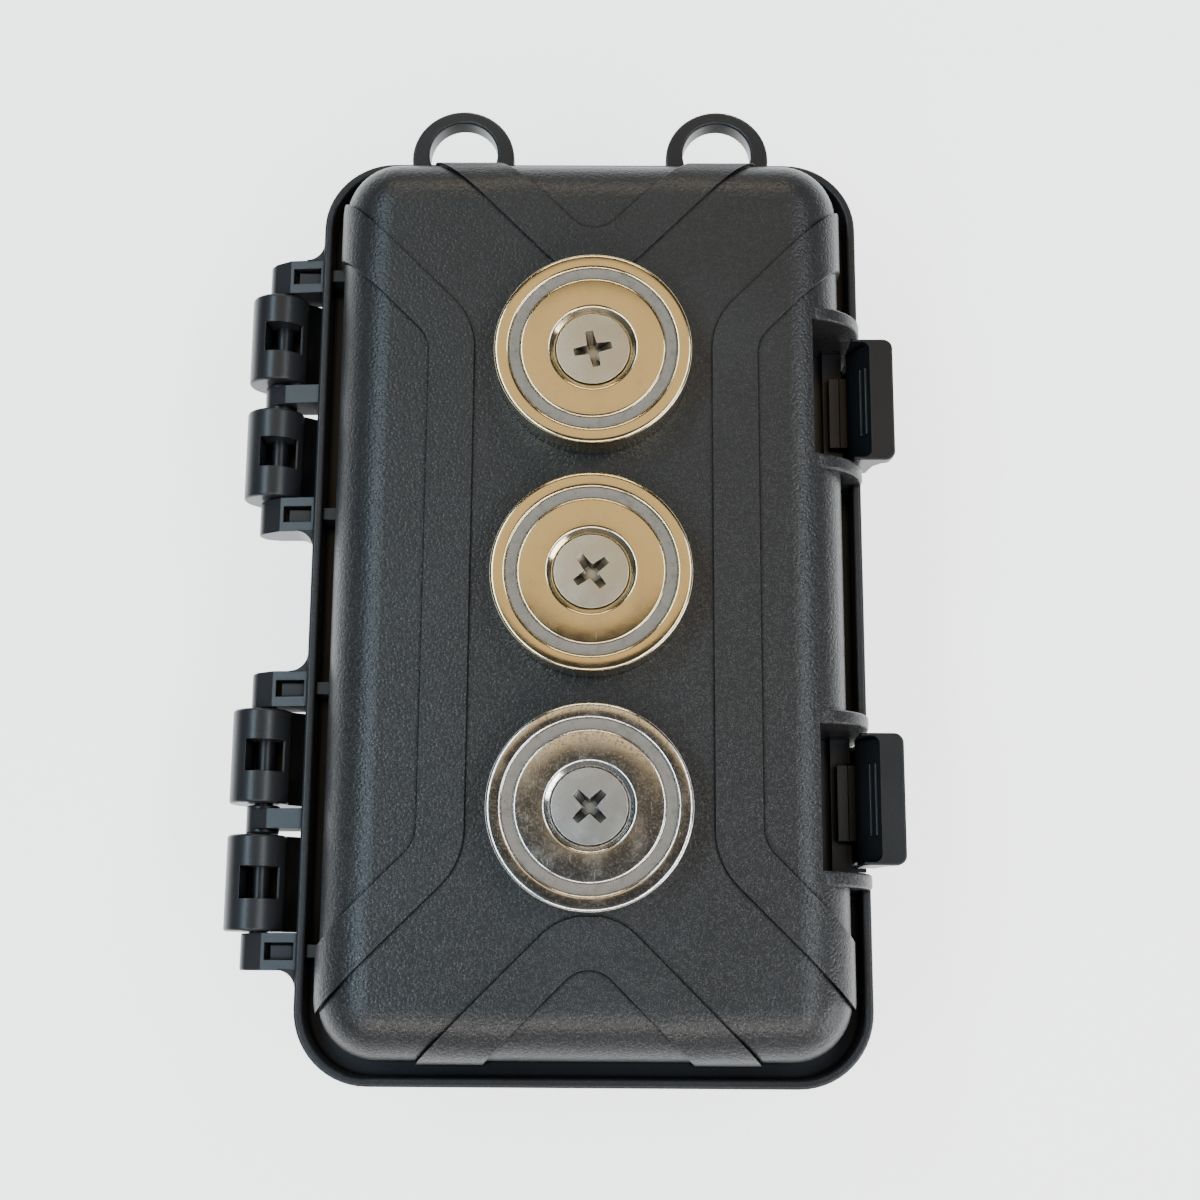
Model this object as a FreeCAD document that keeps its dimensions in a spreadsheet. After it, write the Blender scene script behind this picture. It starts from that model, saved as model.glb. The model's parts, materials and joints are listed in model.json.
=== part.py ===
"""Magnetic key holder box: a clamshell case with three pot magnets, modelled in millimetres.

The case lies on its deep shell, +Z is up, +Y points to the lanyard loops and +X to the latches.
Everything is built about the middle of the case, and each sub-part's Placement then moves it
so that the origin is at the bottom centre of the whole object.
"""
import FreeCAD, Part
import math
import os

import Sketcher

DOC = FreeCAD.newDocument("key_box")
SHEET_NAME = "dims"
EDGE_TOLERANCE = 1e-4

# Driving dimensions: alias, value, meaning.
DRIVING_DIMENSIONS = [
    ("body_hinge_side", 42.0, "body side from the middle, hinge side"),
    ("body_latch_side", 41.6, "body side from the middle, latch side"),
    ("body_near_end", 74.2, "body end from the middle, away from the loops"),
    ("body_far_end", 74.9, "body end from the middle, loops' end"),
    ("body_corner", 9.6, "plan corner radius of the body"),
    ("face_round", 9.0, "round between a face and the walls"),
    ("top_face", 49.0, "height of the magnet face"),
    ("split_height", 29.5, "height of the split line"),
    ("split_gap", 0.2, "gap between the two rims"),
    ("wall", 2.6, "shell wall"),
    ("rim_hinge_side", 46.3, "rim edge from the middle, hinge side"),
    ("rim_latch_side", 45.4, "rim edge from the middle, latch side"),
    ("rim_near_end", 78.4, "rim edge from the middle, away from the loops"),
    ("rim_far_end", 77.5, "rim edge from the middle, loops' end"),
    ("rim_corner", 12.0, "plan corner radius of the rim"),
    ("rim_floor", 2.4, "thickness of the flange"),
    ("lip_top", 37.4, "top of the lid's upstanding lip"),
    ("lip_bottom", 22.6, "bottom of the base's hanging lip"),
    ("lip_wall", 1.5, "thickness of either lip"),
    ("band_relief", 0.4, "height of the raised bands on the faces"),
    ("band_wall_relief", 0.6, "height of the raised bands on the walls"),
    ("band_width", 7.35, "width of a raised band"),
    ("band_side", 19.5, "inner edge of the side bands from the middle"),
    ("band_bend", 44.2, "where the side bands turn to the corners"),
    ("band_apex", 47.9, "inner apex of the end bands from the middle"),
    ("loop_pitch", 22.1, "lanyard loops from their middle line"),
    ("loop_shift", 0.45, "loops' middle line towards the hinges"),
    ("loop_centre_y", 78.55, "loop centre along the case"),
    ("loop_outer", 8.9, "loop outside radius"),
    ("loop_hole_y", 79.4, "centre of the loop's hole along the case"),
    ("loop_inner", 5.9, "radius of the loop's hole"),
    ("loop_thick", 4.0, "loop thickness"),
    ("loop_round", 0.4, "round on the loops' edges"),
    ("edge_round", 0.5, "round on lips, ribs and tabs"),
    ("pin_x", 53.35, "hinge axis from the middle"),
    ("pin_z", 32.2, "hinge axis height"),
    ("pin_radius", 1.5, "hinge pin"),
    ("pin_length", 46.8, "hinge pin length"),
    ("hinge_upper", 35.65, "hinge group at the loops' end, from the middle"),
    ("hinge_lower", 36.4, "hinge group at the other end, from the middle"),
    ("knuckle_radius", 4.85, "knuckle outside radius"),
    ("knuckle_shift", 0.75, "knuckle centre beyond the pin"),
    ("knuckle_near", 2.55, "knuckle's near end from the group's middle"),
    ("knuckle_far", 18.0, "knuckle's far end from the group's middle"),
    ("window_length", 5.2, "window in a knuckle, along the pin"),
    ("window_out", 2.5, "window edge outward of the pin"),
    ("window_in", 3.2, "window edge inward of the pin"),
    ("sill_width", 0.65, "sill on a window's inner side"),
    ("sill_height", 2.3, "sill above the pin"),
    ("window_depth", 2.4, "window floor below the pin"),
    ("ear_radius", 2.7, "lid ear outside radius"),
    ("ear_near", 18.3, "outer ear's inner face from the group's middle"),
    ("ear_far", 24.15, "outer ear's outer face from the group's middle"),
    ("ear_middle", 2.3, "half width of the middle ear's eye"),
    ("ear_web", 1.6, "half width of the middle ear's web"),
    ("ear_cap", 0.6, "closed end of the lower outer ear's bore"),
    ("ear_blend", 3.0, "blend between an outer ear and the lip"),
    ("latch_upper", 33.5, "latch at the loops' end, from the middle"),
    ("latch_lower", 33.2, "latch at the other end, from the middle"),
    ("pocket_pitch", 33.6, "latch pockets from the middle"),
    ("latch_width", 21.1, "latch plate across"),
    ("pocket_width", 23.0, "between the guard ribs"),
    ("pocket_back", 36.5, "back wall of the latch pocket"),
    ("pocket_floor", 14.5, "lower end of the base's pocket"),
    ("ledge_edge", 43.2, "flange edge inside the pocket"),
    ("slot_edge", 39.9, "outer side of the slot behind the catch"),
    ("slot_depth", 1.6, "depth of that slot in the lid's flange"),
    ("guard_thick", 2.4, "guard rib thickness"),
    ("guard_round", 11.4, "guard rib arch radius"),
    ("guard_top", 36.8, "middle of the lid's guard arches"),
    ("guard_foot", 18.0, "middle of the base's guard arches"),
    ("guard_edge", 45.6, "guard rib outer edge"),
    ("catch_inner", 40.8, "catch block, inner side"),
    ("catch_outer", 42.5, "catch block, outer side"),
    ("catch_width", 12.4, "catch block and hook, across"),
    ("catch_top", 33.6, "top of the catch block and hook"),
    ("hook_tip", 42.6, "tip of the latch hook"),
    ("pivot_x", 43.0, "latch pivot from the middle"),
    ("pivot_z", 20.0, "latch pivot height"),
    ("pivot_radius", 1.1, "latch pin"),
    ("pivot_boss", 2.6, "eye of the latch"),
    ("plate_inner", 43.8, "inner face of the latch plate"),
    ("plate_outer", 46.7, "outer face of the latch plate"),
    ("tab_edge", 50.7, "edge of the finger tab"),
    ("tab_top", 41.4, "top of the finger tab"),
    ("tab_corner", 1.6, "corner radius of the finger tab"),
    ("tab_end_wall", 0.45, "end walls beside the hollow behind the tab"),
    ("plate_step", 1.0, "plate narrower than the tab, at each end"),
    ("plate_top", 33.2, "top of the plate's narrow part"),
    ("ridge_radius", 0.26, "two ridges behind the tab"),
    ("ridge_length", 11.5, "length of the ridges"),
    ("running_gap", 0.08, "radial clearance of a turning pin"),
    ("press_gap", 0.02, "radial clearance of a held pin"),
    ("seal_inset", 1.0, "middle of the seal inside the body wall"),
    ("groove_width", 2.0, "seal groove across"),
    ("groove_depth", 1.2, "seal groove depth"),
    ("seal_width", 1.8, "seal across"),
    ("seal_height", 1.3, "seal height"),
    ("magnet_pitch", 36.65, "spacing of the magnets"),
    ("magnet_shift", 0.6, "middle magnet from the middle of the case"),
    ("pattern_shift", 0.5, "magnets and bands beside the middle"),
    ("magnet_height", 6.5, "height of the pot magnets"),
    ("cup_radius", 16.0, "steel cup outside"),
    ("cup_bore", 13.4, "steel cup inside"),
    ("cup_floor", 2.2, "floor of the steel cup"),
    ("cup_bevel", 0.4, "bevel of the cup's rim"),
    ("disc_radius", 11.8, "ring magnet outside"),
    ("filler_drop", 0.35, "filler below the rim"),
    ("sink_radius", 6.6, "countersink at the face"),
    ("screw_radius", 2.95, "M6 screw shank"),
    ("screw_hole", 3.3, "clearance hole for M6"),
    ("screw_head", 6.0, "countersunk head radius"),
    ("screw_length", 16.0, "screw length with its head"),
    ("screw_drop", 0.3, "head below the face"),
    ("head_edge", 0.2, "straight edge of the head"),
    ("cross_length", 6.3, "cross recess, tip to tip"),
    ("cross_width", 1.25, "cross recess, arm width"),
    ("cross_depth", 2.2, "cross recess depth"),
    ("washer_radius", 9.0, "washer outside radius"),
    ("washer_thick", 1.6, "washer thickness"),
    ("nut_flats", 10.0, "M6 nut across flats"),
    ("nut_height", 5.0, "M6 nut height"),
    ("nut_bore", 3.05, "M6 nut bore"),
]


class Size:
    """A length that knows its number and the sheet expression it comes from."""

    def __init__(self, value, text):
        self.value = float(value)
        self.text = text

    @staticmethod
    def of(other):
        if isinstance(other, Size):
            return other
        return Size(other, "(%.6f)" % other)

    def __add__(self, other):
        other = Size.of(other)
        return Size(self.value + other.value, "(%s + %s)" % (self.text, other.text))

    def __sub__(self, other):
        other = Size.of(other)
        return Size(self.value - other.value, "(%s - %s)" % (self.text, other.text))

    def __mul__(self, other):
        other = Size.of(other)
        return Size(self.value * other.value, "(%s * %s)" % (self.text, other.text))

    def __truediv__(self, other):
        other = Size.of(other)
        return Size(self.value / other.value, "(%s / %s)" % (self.text, other.text))

    def __radd__(self, other):
        return Size.of(other) + self

    def __rsub__(self, other):
        return Size.of(other) - self

    def __rmul__(self, other):
        return Size.of(other) * self

    def __neg__(self):
        return Size.of(0) - self


class Sizes:
    """Gives each driving dimension of the sheet as an attribute."""


def make_sheet():
    """Write the driving dimensions into the spreadsheet and return them as sizes."""
    sheet = DOC.addObject("Spreadsheet::Sheet", SHEET_NAME)
    sizes = Sizes()
    for row, (alias, value, meaning) in enumerate(DRIVING_DIMENSIONS, start=1):
        sheet.set("A%d" % row, meaning)
        sheet.set("B%d" % row, str(value))
        sheet.setAlias("B%d" % row, alias)
        setattr(sizes, alias, Size(value, "%s.%s" % (SHEET_NAME, alias)))
    DOC.recompute()
    return sizes


D = make_sheet()

# Sizes that several sub-parts share.
LID_BOTTOM = D.split_height + D.split_gap / 2
BASE_TOP = D.split_height - D.split_gap / 2
LID_FLOOR = LID_BOTTOM + D.rim_floor
BASE_FLOOR = BASE_TOP - D.rim_floor
HALF_POCKET = D.pocket_width / 2
BAND_SLOPE = D.band_width * math.sqrt(2)
BAND_MITRE = D.band_width * math.tan(math.pi / 8)
BEYOND = Size.of(6)

# The middle of the case seen from the bottom centre of the whole object.
SHIFT_X = (D.pin_x + D.knuckle_shift + D.knuckle_radius - D.tab_edge) / 2
SHIFT_Y = (D.rim_near_end - D.loop_centre_y - D.loop_outer) / 2


def bind(thing, path, size):
    """Bind one property of an object to a sheet expression."""
    thing.setExpression(path, Size.of(size).text)


def place(thing, x=0, y=0, z=0):
    """Bind an object's position."""
    for path, size in (("x", x), ("y", y), ("z", z)):
        bind(thing, "Placement.Base." + path, size)


def new_sketch(body, name, role, offset):
    """Attach a sketch to one of the body's own origin planes, moved along its normal."""
    sketch = body.newObject("Sketcher::SketchObject", name)
    plane = [feature for feature in body.Origin.OriginFeatures if feature.Role == role][0]
    sketch.AttachmentSupport = [(plane, "")]
    sketch.MapMode = "FlatFace"
    bind(sketch, "AttachmentOffset.Base.z", offset)
    return sketch


def pin_coordinate(sketch, kind, index, size):
    """Hold one coordinate of a line's start point to a sheet expression."""
    if abs(size.value) < EDGE_TOLERANCE:
        axis = -2 if kind == "DistanceX" else -1
        sketch.addConstraint(Sketcher.Constraint("PointOnObject", index, 1, axis))
        return
    constraint = sketch.addConstraint(Sketcher.Constraint(kind, -1, 1, index, 1, size.value))
    name = "%s_%d" % ("across" if kind == "DistanceX" else "up", index)
    sketch.renameConstraint(constraint, name)
    bind(sketch, "Constraints." + name, size)


def draw_polygon(sketch, points):
    """Draw a closed outline whose corners follow the sheet."""
    first = sketch.GeometryCount
    points = [(Size.of(x), Size.of(y)) for x, y in points]
    vectors = [FreeCAD.Vector(x.value, y.value, 0) for x, y in points]
    count = len(points)
    for index in range(count):
        start = vectors[index]
        end = vectors[(index + 1) % count]
        sketch.addGeometry(Part.LineSegment(start, end), False)
    for index in range(count):
        following = first + (index + 1) % count
        sketch.addConstraint(Sketcher.Constraint("Coincident", first + index, 2, following, 1))
    for index, (x, y) in enumerate(points):
        pin_coordinate(sketch, "DistanceX", first + index, x)
        pin_coordinate(sketch, "DistanceY", first + index, y)


def prism(name, outlines, role, start, end):
    """Pad closed outlines from start to end: along Z from the XY plane, along Y from XZ."""
    body = DOC.addObject("PartDesign::Body", name)
    start = Size.of(start)
    end = Size.of(end)
    offset = start if role == "XY_Plane" else -end
    sketch = new_sketch(body, name + "_outline", role, offset)
    for outline in outlines:
        draw_polygon(sketch, outline)
    pad = body.newObject("PartDesign::Pad", name + "_pad")
    pad.Profile = sketch
    bind(pad, "Length", end - start)
    body.Tip = pad
    DOC.recompute()
    return body


def round_edges(body, name, radius, wanted):
    """Fillet the edges of a body's tip that a test picks out."""
    tip = body.Tip
    names = ["Edge%d" % number for number, edge in enumerate(tip.Shape.Edges, 1) if wanted(edge)]
    fillet = body.newObject("PartDesign::Fillet", name)
    fillet.Base = (tip, names)
    bind(fillet, "Radius", radius)
    body.Tip = fillet
    DOC.recompute()
    return body


def is_upright(edge):
    """Tell whether an edge runs along Z."""
    box = edge.BoundBox
    return box.XLength < EDGE_TOLERANCE and box.YLength < EDGE_TOLERANCE


def lies_at(height):
    """Give a test for the edges that lie at one height."""
    def wanted(edge):
        box = edge.BoundBox
        low = abs(box.ZMin - height.value) < EDGE_TOLERANCE
        return low and abs(box.ZMax - height.value) < EDGE_TOLERANCE
    return wanted


def rectangle(x_low, x_high, y_low, y_high):
    """List the corners of a rectangle."""
    return [(x_low, y_low), (x_high, y_low), (x_high, y_high), (x_low, y_high)]


def rounded_block(name, sides, start, end, corner, face=None, face_radius=None):
    """Make a block with rounded upright edges and, where asked, one rounded face."""
    body = prism(name, [rectangle(*sides)], "XY_Plane", start, end)
    round_edges(body, name + "_corners", corner, is_upright)
    if face is not None:
        round_edges(body, name + "_face", face_radius, lies_at(Size.of(face)))
    return body


def box(name, x_low, x_high, y_low, y_high, z_low, z_high):
    """Make a plain box between its low and high sides."""
    block = DOC.addObject("Part::Box", name)
    bind(block, "Length", Size.of(x_high) - x_low)
    bind(block, "Width", Size.of(y_high) - y_low)
    bind(block, "Height", Size.of(z_high) - z_low)
    place(block, x_low, y_low, z_low)
    return block


def rod(name, radius, length, x, y, z, along="Z"):
    """Make a cylinder that starts at a point and runs along Y or Z."""
    cylinder = DOC.addObject("Part::Cylinder", name)
    bind(cylinder, "Radius", radius)
    bind(cylinder, "Height", length)
    if along == "Y":
        cylinder.Placement.Rotation = FreeCAD.Rotation(FreeCAD.Vector(1, 0, 0), -90)
    place(cylinder, x, y, z)
    return cylinder


def fuse(name, pieces):
    """Join pieces into one solid."""
    joined = DOC.addObject("Part::MultiFuse", name)
    joined.Shapes = pieces
    joined.Refine = True
    return joined


def cut(name, base, tool):
    """Take one piece out of another."""
    result = DOC.addObject("Part::Cut", name)
    result.Base = base
    result.Tool = tool
    result.Refine = True
    return result


def soften(name, base, radius, wanted):
    """Round the edges of a piece that a test picks out."""
    DOC.recompute()
    fillet = DOC.addObject("Part::Fillet", name)
    fillet.Base = base
    fillet.Edges = [
        (number, radius.value, radius.value)
        for number, edge in enumerate(base.Shape.Edges, 1) if wanted(edge)
    ]
    return fillet


def is_circle(edge):
    """Tell whether an edge is a full circle."""
    return edge.Closed and edge.Curve.TypeId == "Part::GeomCircle"


def common(name, base, tool):
    """Keep what two pieces share."""
    result = DOC.addObject("Part::Common", name)
    result.Base = base
    result.Tool = tool
    return result


def body_sides(grow=0):
    """Give the plan sides of the moulded body, grown outward or inward."""
    return (
        -D.body_hinge_side - grow, D.body_latch_side + grow,
        -D.body_near_end - grow, D.body_far_end + grow,
    )


def rim_sides(inset=0):
    """Give the plan sides of the rim, moved inward."""
    return (
        inset - D.rim_hinge_side,
        D.rim_latch_side - inset,
        inset - D.rim_near_end,
        D.rim_far_end - inset,
    )


def band_outlines():
    """Outline the raised bands: one along each side that turns to the corners, a V at each end."""
    outer_side = D.band_side + D.band_width
    outer_bend = D.band_bend - BAND_MITRE
    side_end = D.body_hinge_side + BEYOND
    run_inner = side_end - D.band_side
    run_outer = side_end - outer_side
    outlines = []
    for side in (-1, 1):
        outlines.append([
            (side * D.band_side, -D.band_bend),
            (side * side_end, -(D.band_bend + run_inner)),
            (side * side_end, -(outer_bend + run_outer)),
            (side * outer_side, -outer_bend),
            (side * outer_side, outer_bend),
            (side * side_end, outer_bend + run_outer),
            (side * side_end, D.band_bend + run_inner),
            (side * D.band_side, D.band_bend),
        ])
    end = D.body_far_end + BEYOND
    outer_apex = D.band_apex + BAND_SLOPE
    for side in (-1, 1):
        outlines.append([
            (Size.of(0), side * D.band_apex),
            (end - D.band_apex, side * end),
            (end - outer_apex, side * end),
            (Size.of(0), side * outer_apex),
            (outer_apex - end, side * end),
            (D.band_apex - end, side * end),
        ])
    return [[(x + D.pattern_shift, y) for x, y in outline] for outline in outlines]


# Rounds of the bands' bends: name, radius, distance from the pattern's middle line, near end.
BEND_ROUNDS = (
    ("inner_bend", 12.0, D.band_side, False),
    ("outer_bend", 6.0, D.band_side + D.band_width, False),
    ("apex", 10.5, Size.of(0), False),
    ("end_apex", 5.0, Size.of(0), True),
)


def raised_bands(name, start, end, face_height):
    """Make the bands that stand proud of one shell's face and walls."""
    skin = rounded_block(
        name + "_skin", body_sides(D.band_wall_relief), start, end,
        D.body_corner + D.band_wall_relief, face_height, D.face_round + D.band_relief,
    )
    pattern = prism(name + "_pattern", band_outlines(), "XY_Plane", start - 1, end + 1)
    for title, radius, line, beyond_apex in BEND_ROUNDS:
        def wanted(edge, line=line, beyond_apex=beyond_apex):
            corner = edge.BoundBox
            on_line = abs(abs(corner.XMin - D.pattern_shift.value) - line.value) < 0.1
            past_apex = abs(corner.YMin) > D.band_apex.value + 1
            return is_upright(edge) and on_line and past_apex == beyond_apex
        round_edges(pattern, name + "_" + title, Size.of(radius), wanted)
    return common(name, skin, pattern)


def tray(name, start, end, floor_low, floor_high, inset, mouth):
    """Make a rim: a flange with a lip round its edge, open and rounded on its mouth's side."""
    outer = rounded_block(name + "_outer", rim_sides(), start, end, D.rim_corner)
    inner = rounded_block(
        name + "_inner", rim_sides(inset), floor_low, floor_high, D.rim_corner - inset
    )
    return soften(name, cut(name + "_sharp", outer, inner), D.edge_round, lies_at(mouth))


def latch_centres():
    """Give the name and the place along the case of each latch."""
    return (("upper", D.latch_upper), ("lower", -D.latch_lower))


def pocket_centres():
    """Give the name and the place along the case of each latch pocket."""
    return (("upper", D.pocket_pitch), ("lower", -D.pocket_pitch))


def hinge_centres():
    """Give the name and the place along the case of each hinge group."""
    return (("upper", D.hinge_upper), ("lower", -D.hinge_lower))


def magnet_centres():
    """Give the place along the case of each magnet, from the loops' end."""
    return (D.magnet_shift + D.magnet_pitch, D.magnet_shift, D.magnet_shift - D.magnet_pitch)


def cavity(name, start, end, face_height, bulge_low, bulge_high):
    """Make the inside of a shell, with room left for the wall behind each latch pocket."""
    hollow = rounded_block(
        name + "_hollow", body_sides(-D.wall), start, end,
        D.body_corner - D.wall, face_height, D.face_round - D.wall,
    )
    bulges = []
    for title, centre in pocket_centres():
        reach = HALF_POCKET + D.wall
        bulges.append(box(
            "%s_%s_bulge" % (name, title), D.pocket_back - D.wall, D.body_latch_side,
            centre - reach, centre + reach, bulge_low, bulge_high,
        ))
    return cut(name, hollow, fuse(name + "_bulges", bulges))


def guard_ribs(name, arch_height, flat_low, flat_high, low, high):
    """Make the four guard ribs of one shell: flat outside, arched to the body at one end."""
    reach = D.pocket_back - 1
    bar = fuse(name + "_bar", [
        rod(name + "_arch", D.guard_round, D.body_near_end * 2, D.guard_edge - D.guard_round,
            -D.body_near_end, arch_height, "Y"),
        box(name + "_flat", reach, D.guard_edge, -D.body_near_end, D.body_near_end,
            flat_low, flat_high),
    ])
    slabs = []
    for title, centre in pocket_centres():
        for side, start in ((-1, -HALF_POCKET - D.guard_thick), (1, HALF_POCKET)):
            slabs.append(box(
                "%s_%s_%s" % (name, title, "far" if side > 0 else "near"), reach, D.guard_edge,
                centre + start, centre + start + D.guard_thick, low, high,
            ))

    def is_outer_edge(edge):
        corner = edge.BoundBox
        flat = corner.YLength < EDGE_TOLERANCE and corner.ZLength > EDGE_TOLERANCE
        return flat and corner.XMax > reach.value + EDGE_TOLERANCE

    sharp = common(name + "_sharp", bar, fuse(name + "_slabs", slabs))
    return soften(name, sharp, D.edge_round, is_outer_edge)


def side_cutters(name, centres, inner, half_width, z_low, z_high):
    """Make one cutter per latch that clears the latch side outward of one plane."""
    return [
        box(
            "%s_%s" % (name, title), inner, D.rim_latch_side + BEYOND,
            centre - half_width, centre + half_width, z_low, z_high,
        )
        for title, centre in centres
    ]


def finish_part(piece, label, x=0, y=0, z=0):
    """Name a finished sub-part and move it to its place in the whole object."""
    piece.Label = label
    place(piece, SHIFT_X + x, SHIFT_Y + y, z)
    return piece


def make_ear(name, y_low, y_high, web_low, web_high):
    """Make one lid ear: an eye round the hinge pin and a web up to the lip."""
    inside = D.lip_wall / 2 - D.rim_hinge_side
    web = prism(name + "_web", [[
        (-D.pin_x, D.pin_z - D.ear_radius),
        (inside, LID_BOTTOM),
        (inside, D.lip_top - 0.6),
        (-D.pin_x + 1.3, D.lip_top - 1.2),
        (-D.pin_x - D.ear_radius * 0.6, D.pin_z + D.ear_radius * 0.8),
    ]], "XZ_Plane", web_low, web_high)
    eye = rod(name + "_sharp", D.ear_radius, y_high - y_low, -D.pin_x, y_low, D.pin_z, "Y")
    return [web, soften(name + "_eye", eye, D.edge_round * 0.6, is_circle)]


def outer_ear_pocket(name, y_low, y_high):
    """Make the cutter for the pocket in an outer ear, with the raised block left inside."""
    floor = D.pin_z + 1.9
    end = -D.rim_hinge_side - 0.45
    pocket = box(
        name + "_pocket", -D.pin_x + 1.9, end, y_low + 1.6, y_high - 1.5, floor, D.lip_top + 1
    )
    block = box(
        name + "_block", -D.pin_x + 2.75, end + 1, y_low + 0.5, y_high - 1.9,
        floor - 1, D.lip_top - 2.1,
    )
    return cut(name + "_recess", pocket, block)


def ear_corner(name, edge, side, z_low, z_high):
    """Make the concave blend between an outer ear's outer side and the lip."""
    start = edge if side > 0 else edge - D.ear_blend
    centre_y = edge + side * D.ear_blend
    block = box(
        name + "_block", -D.rim_hinge_side - D.ear_blend, 0.5 - D.rim_hinge_side,
        start, start + D.ear_blend, z_low, z_high,
    )
    scoop = rod(
        name + "_scoop", D.ear_blend, z_high - z_low + 2,
        -D.rim_hinge_side - D.ear_blend, centre_y, z_low - 1,
    )
    return cut(name, block, scoop)


def lid_hinge_parts():
    """Give what the lid's hinge side adds and what is cut from it."""
    added = []
    removed = []
    for title, centre in hinge_centres():
        for side in (-1, 1):
            name = "ear_%s_%s" % (title, "far" if side > 0 else "near")
            low = centre + (D.ear_near if side > 0 else -D.ear_far)
            high = centre + (D.ear_far if side > 0 else -D.ear_near)
            added += make_ear(name, low, high, low, high)
            removed.append(outer_ear_pocket(name, low, high))
            edge = high if side > 0 else low
            added.append(ear_corner(name + "_blend", edge, side, LID_BOTTOM, D.lip_top - 0.6))
            middle = (low + high) / 2
            added.append(box(
                name + "_rib", 0.5 - D.rim_hinge_side, 0.5 - D.body_hinge_side,
                middle - 0.9, middle + 1.1, LID_FLOOR - 0.5, D.lip_top - 0.9,
            ))
        added += make_ear(
            "ear_%s_middle" % title, centre - D.ear_middle, centre + D.ear_middle,
            centre - D.ear_web, centre + D.ear_web,
        )
        removed.append(rod(
            "ear_%s_bore" % title, D.pin_radius + D.running_gap, D.ear_far * 2 + 1,
            -D.pin_x, centre - D.ear_far + D.ear_cap, D.pin_z, "Y",
        ))
    return added, removed


def make_loops():
    """Make the two lanyard loops at the lid's end."""
    loops = []
    low = D.lip_top - D.loop_thick
    for title, side in (("hinge", -1), ("latch", 1)):
        name = "loop_%s_side" % title
        x = side * D.loop_pitch - D.loop_shift
        ring = cut(
            name + "_sharp",
            rod(name + "_disc", D.loop_outer, D.loop_thick, x, D.loop_centre_y, low),
            rod(name + "_hole", D.loop_inner, D.loop_thick + 2, x, D.loop_hole_y, low - 1),
        )
        keep = box(
            name + "_keep", x - D.loop_outer - 1, x + D.loop_outer + 1,
            D.rim_far_end - D.lip_wall / 2, D.rim_far_end + 2 * D.loop_outer,
            low - 1, D.lip_top + 1,
        )
        loops.append(common(
            name, soften(name + "_ring", ring, D.loop_round, is_circle), keep
        ))
    return loops


def make_lid_shell():
    """Make the shallow shell that carries the magnets."""
    added, removed = lid_hinge_parts()
    plain = rounded_block(
        "lid_body", body_sides(), LID_BOTTOM, D.top_face, D.body_corner, D.top_face, D.face_round
    )
    bands = raised_bands(
        "lid_bands", LID_BOTTOM, D.top_face + D.band_relief, D.top_face + D.band_relief
    )
    seats = []
    for number, y in enumerate(magnet_centres(), start=1):
        seats.append(rod(
            "magnet_seat_%d" % number, D.cup_radius + 0.4, BEYOND, D.pattern_shift, y, D.top_face
        ))
        removed.append(rod(
            "magnet_bore_%d" % number, D.screw_hole, D.wall + 2,
            D.pattern_shift, y, D.top_face - D.wall - 1,
        ))
    trimmed = cut("lid_bands_trimmed", bands, fuse("magnet_seats", seats))
    rim = tray("lid_rim", LID_BOTTOM, D.lip_top, LID_FLOOR, D.lip_top + 2, D.lip_wall, D.lip_top)
    guards = guard_ribs(
        "lid_guards", D.guard_top, LID_BOTTOM, D.guard_top, LID_BOTTOM, D.top_face
    )
    solid = fuse("lid_solid", [plain, trimmed, rim, guards] + make_loops() + added)
    removed += side_cutters(
        "lid_pocket", pocket_centres(), D.pocket_back, HALF_POCKET,
        LID_FLOOR, D.top_face + BEYOND,
    )
    removed += side_cutters(
        "lid_ledge", pocket_centres(), D.ledge_edge, HALF_POCKET, LID_BOTTOM - 1, LID_FLOOR + 1
    )
    for title, centre in pocket_centres():
        removed.append(box(
            "lid_slot_%s" % title, D.pocket_back, D.slot_edge, centre - HALF_POCKET,
            centre + HALF_POCKET, LID_FLOOR - D.slot_depth, LID_FLOOR + 1,
        ))
    removed += side_cutters(
        "lid_notch", latch_centres(), D.catch_outer, D.catch_width / 2 + 0.4,
        LID_BOTTOM - 1, LID_FLOOR + 1,
    )
    inside = D.top_face - D.wall
    removed.append(cavity(
        "lid_inside", LID_BOTTOM - 2, inside, inside, LID_BOTTOM - 3, inside + 1
    ))
    opened = cut("lid_opened", solid, fuse("lid_cutters", removed))
    catches = []
    for title, centre in latch_centres():
        catches.append(box(
            "catch_%s" % title, D.catch_inner, D.catch_outer,
            centre - D.catch_width / 2, centre + D.catch_width / 2, LID_FLOOR - 0.5, D.catch_top,
        ))
    return finish_part(fuse("lid_shell", [opened] + catches), "lid_shell")


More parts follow.
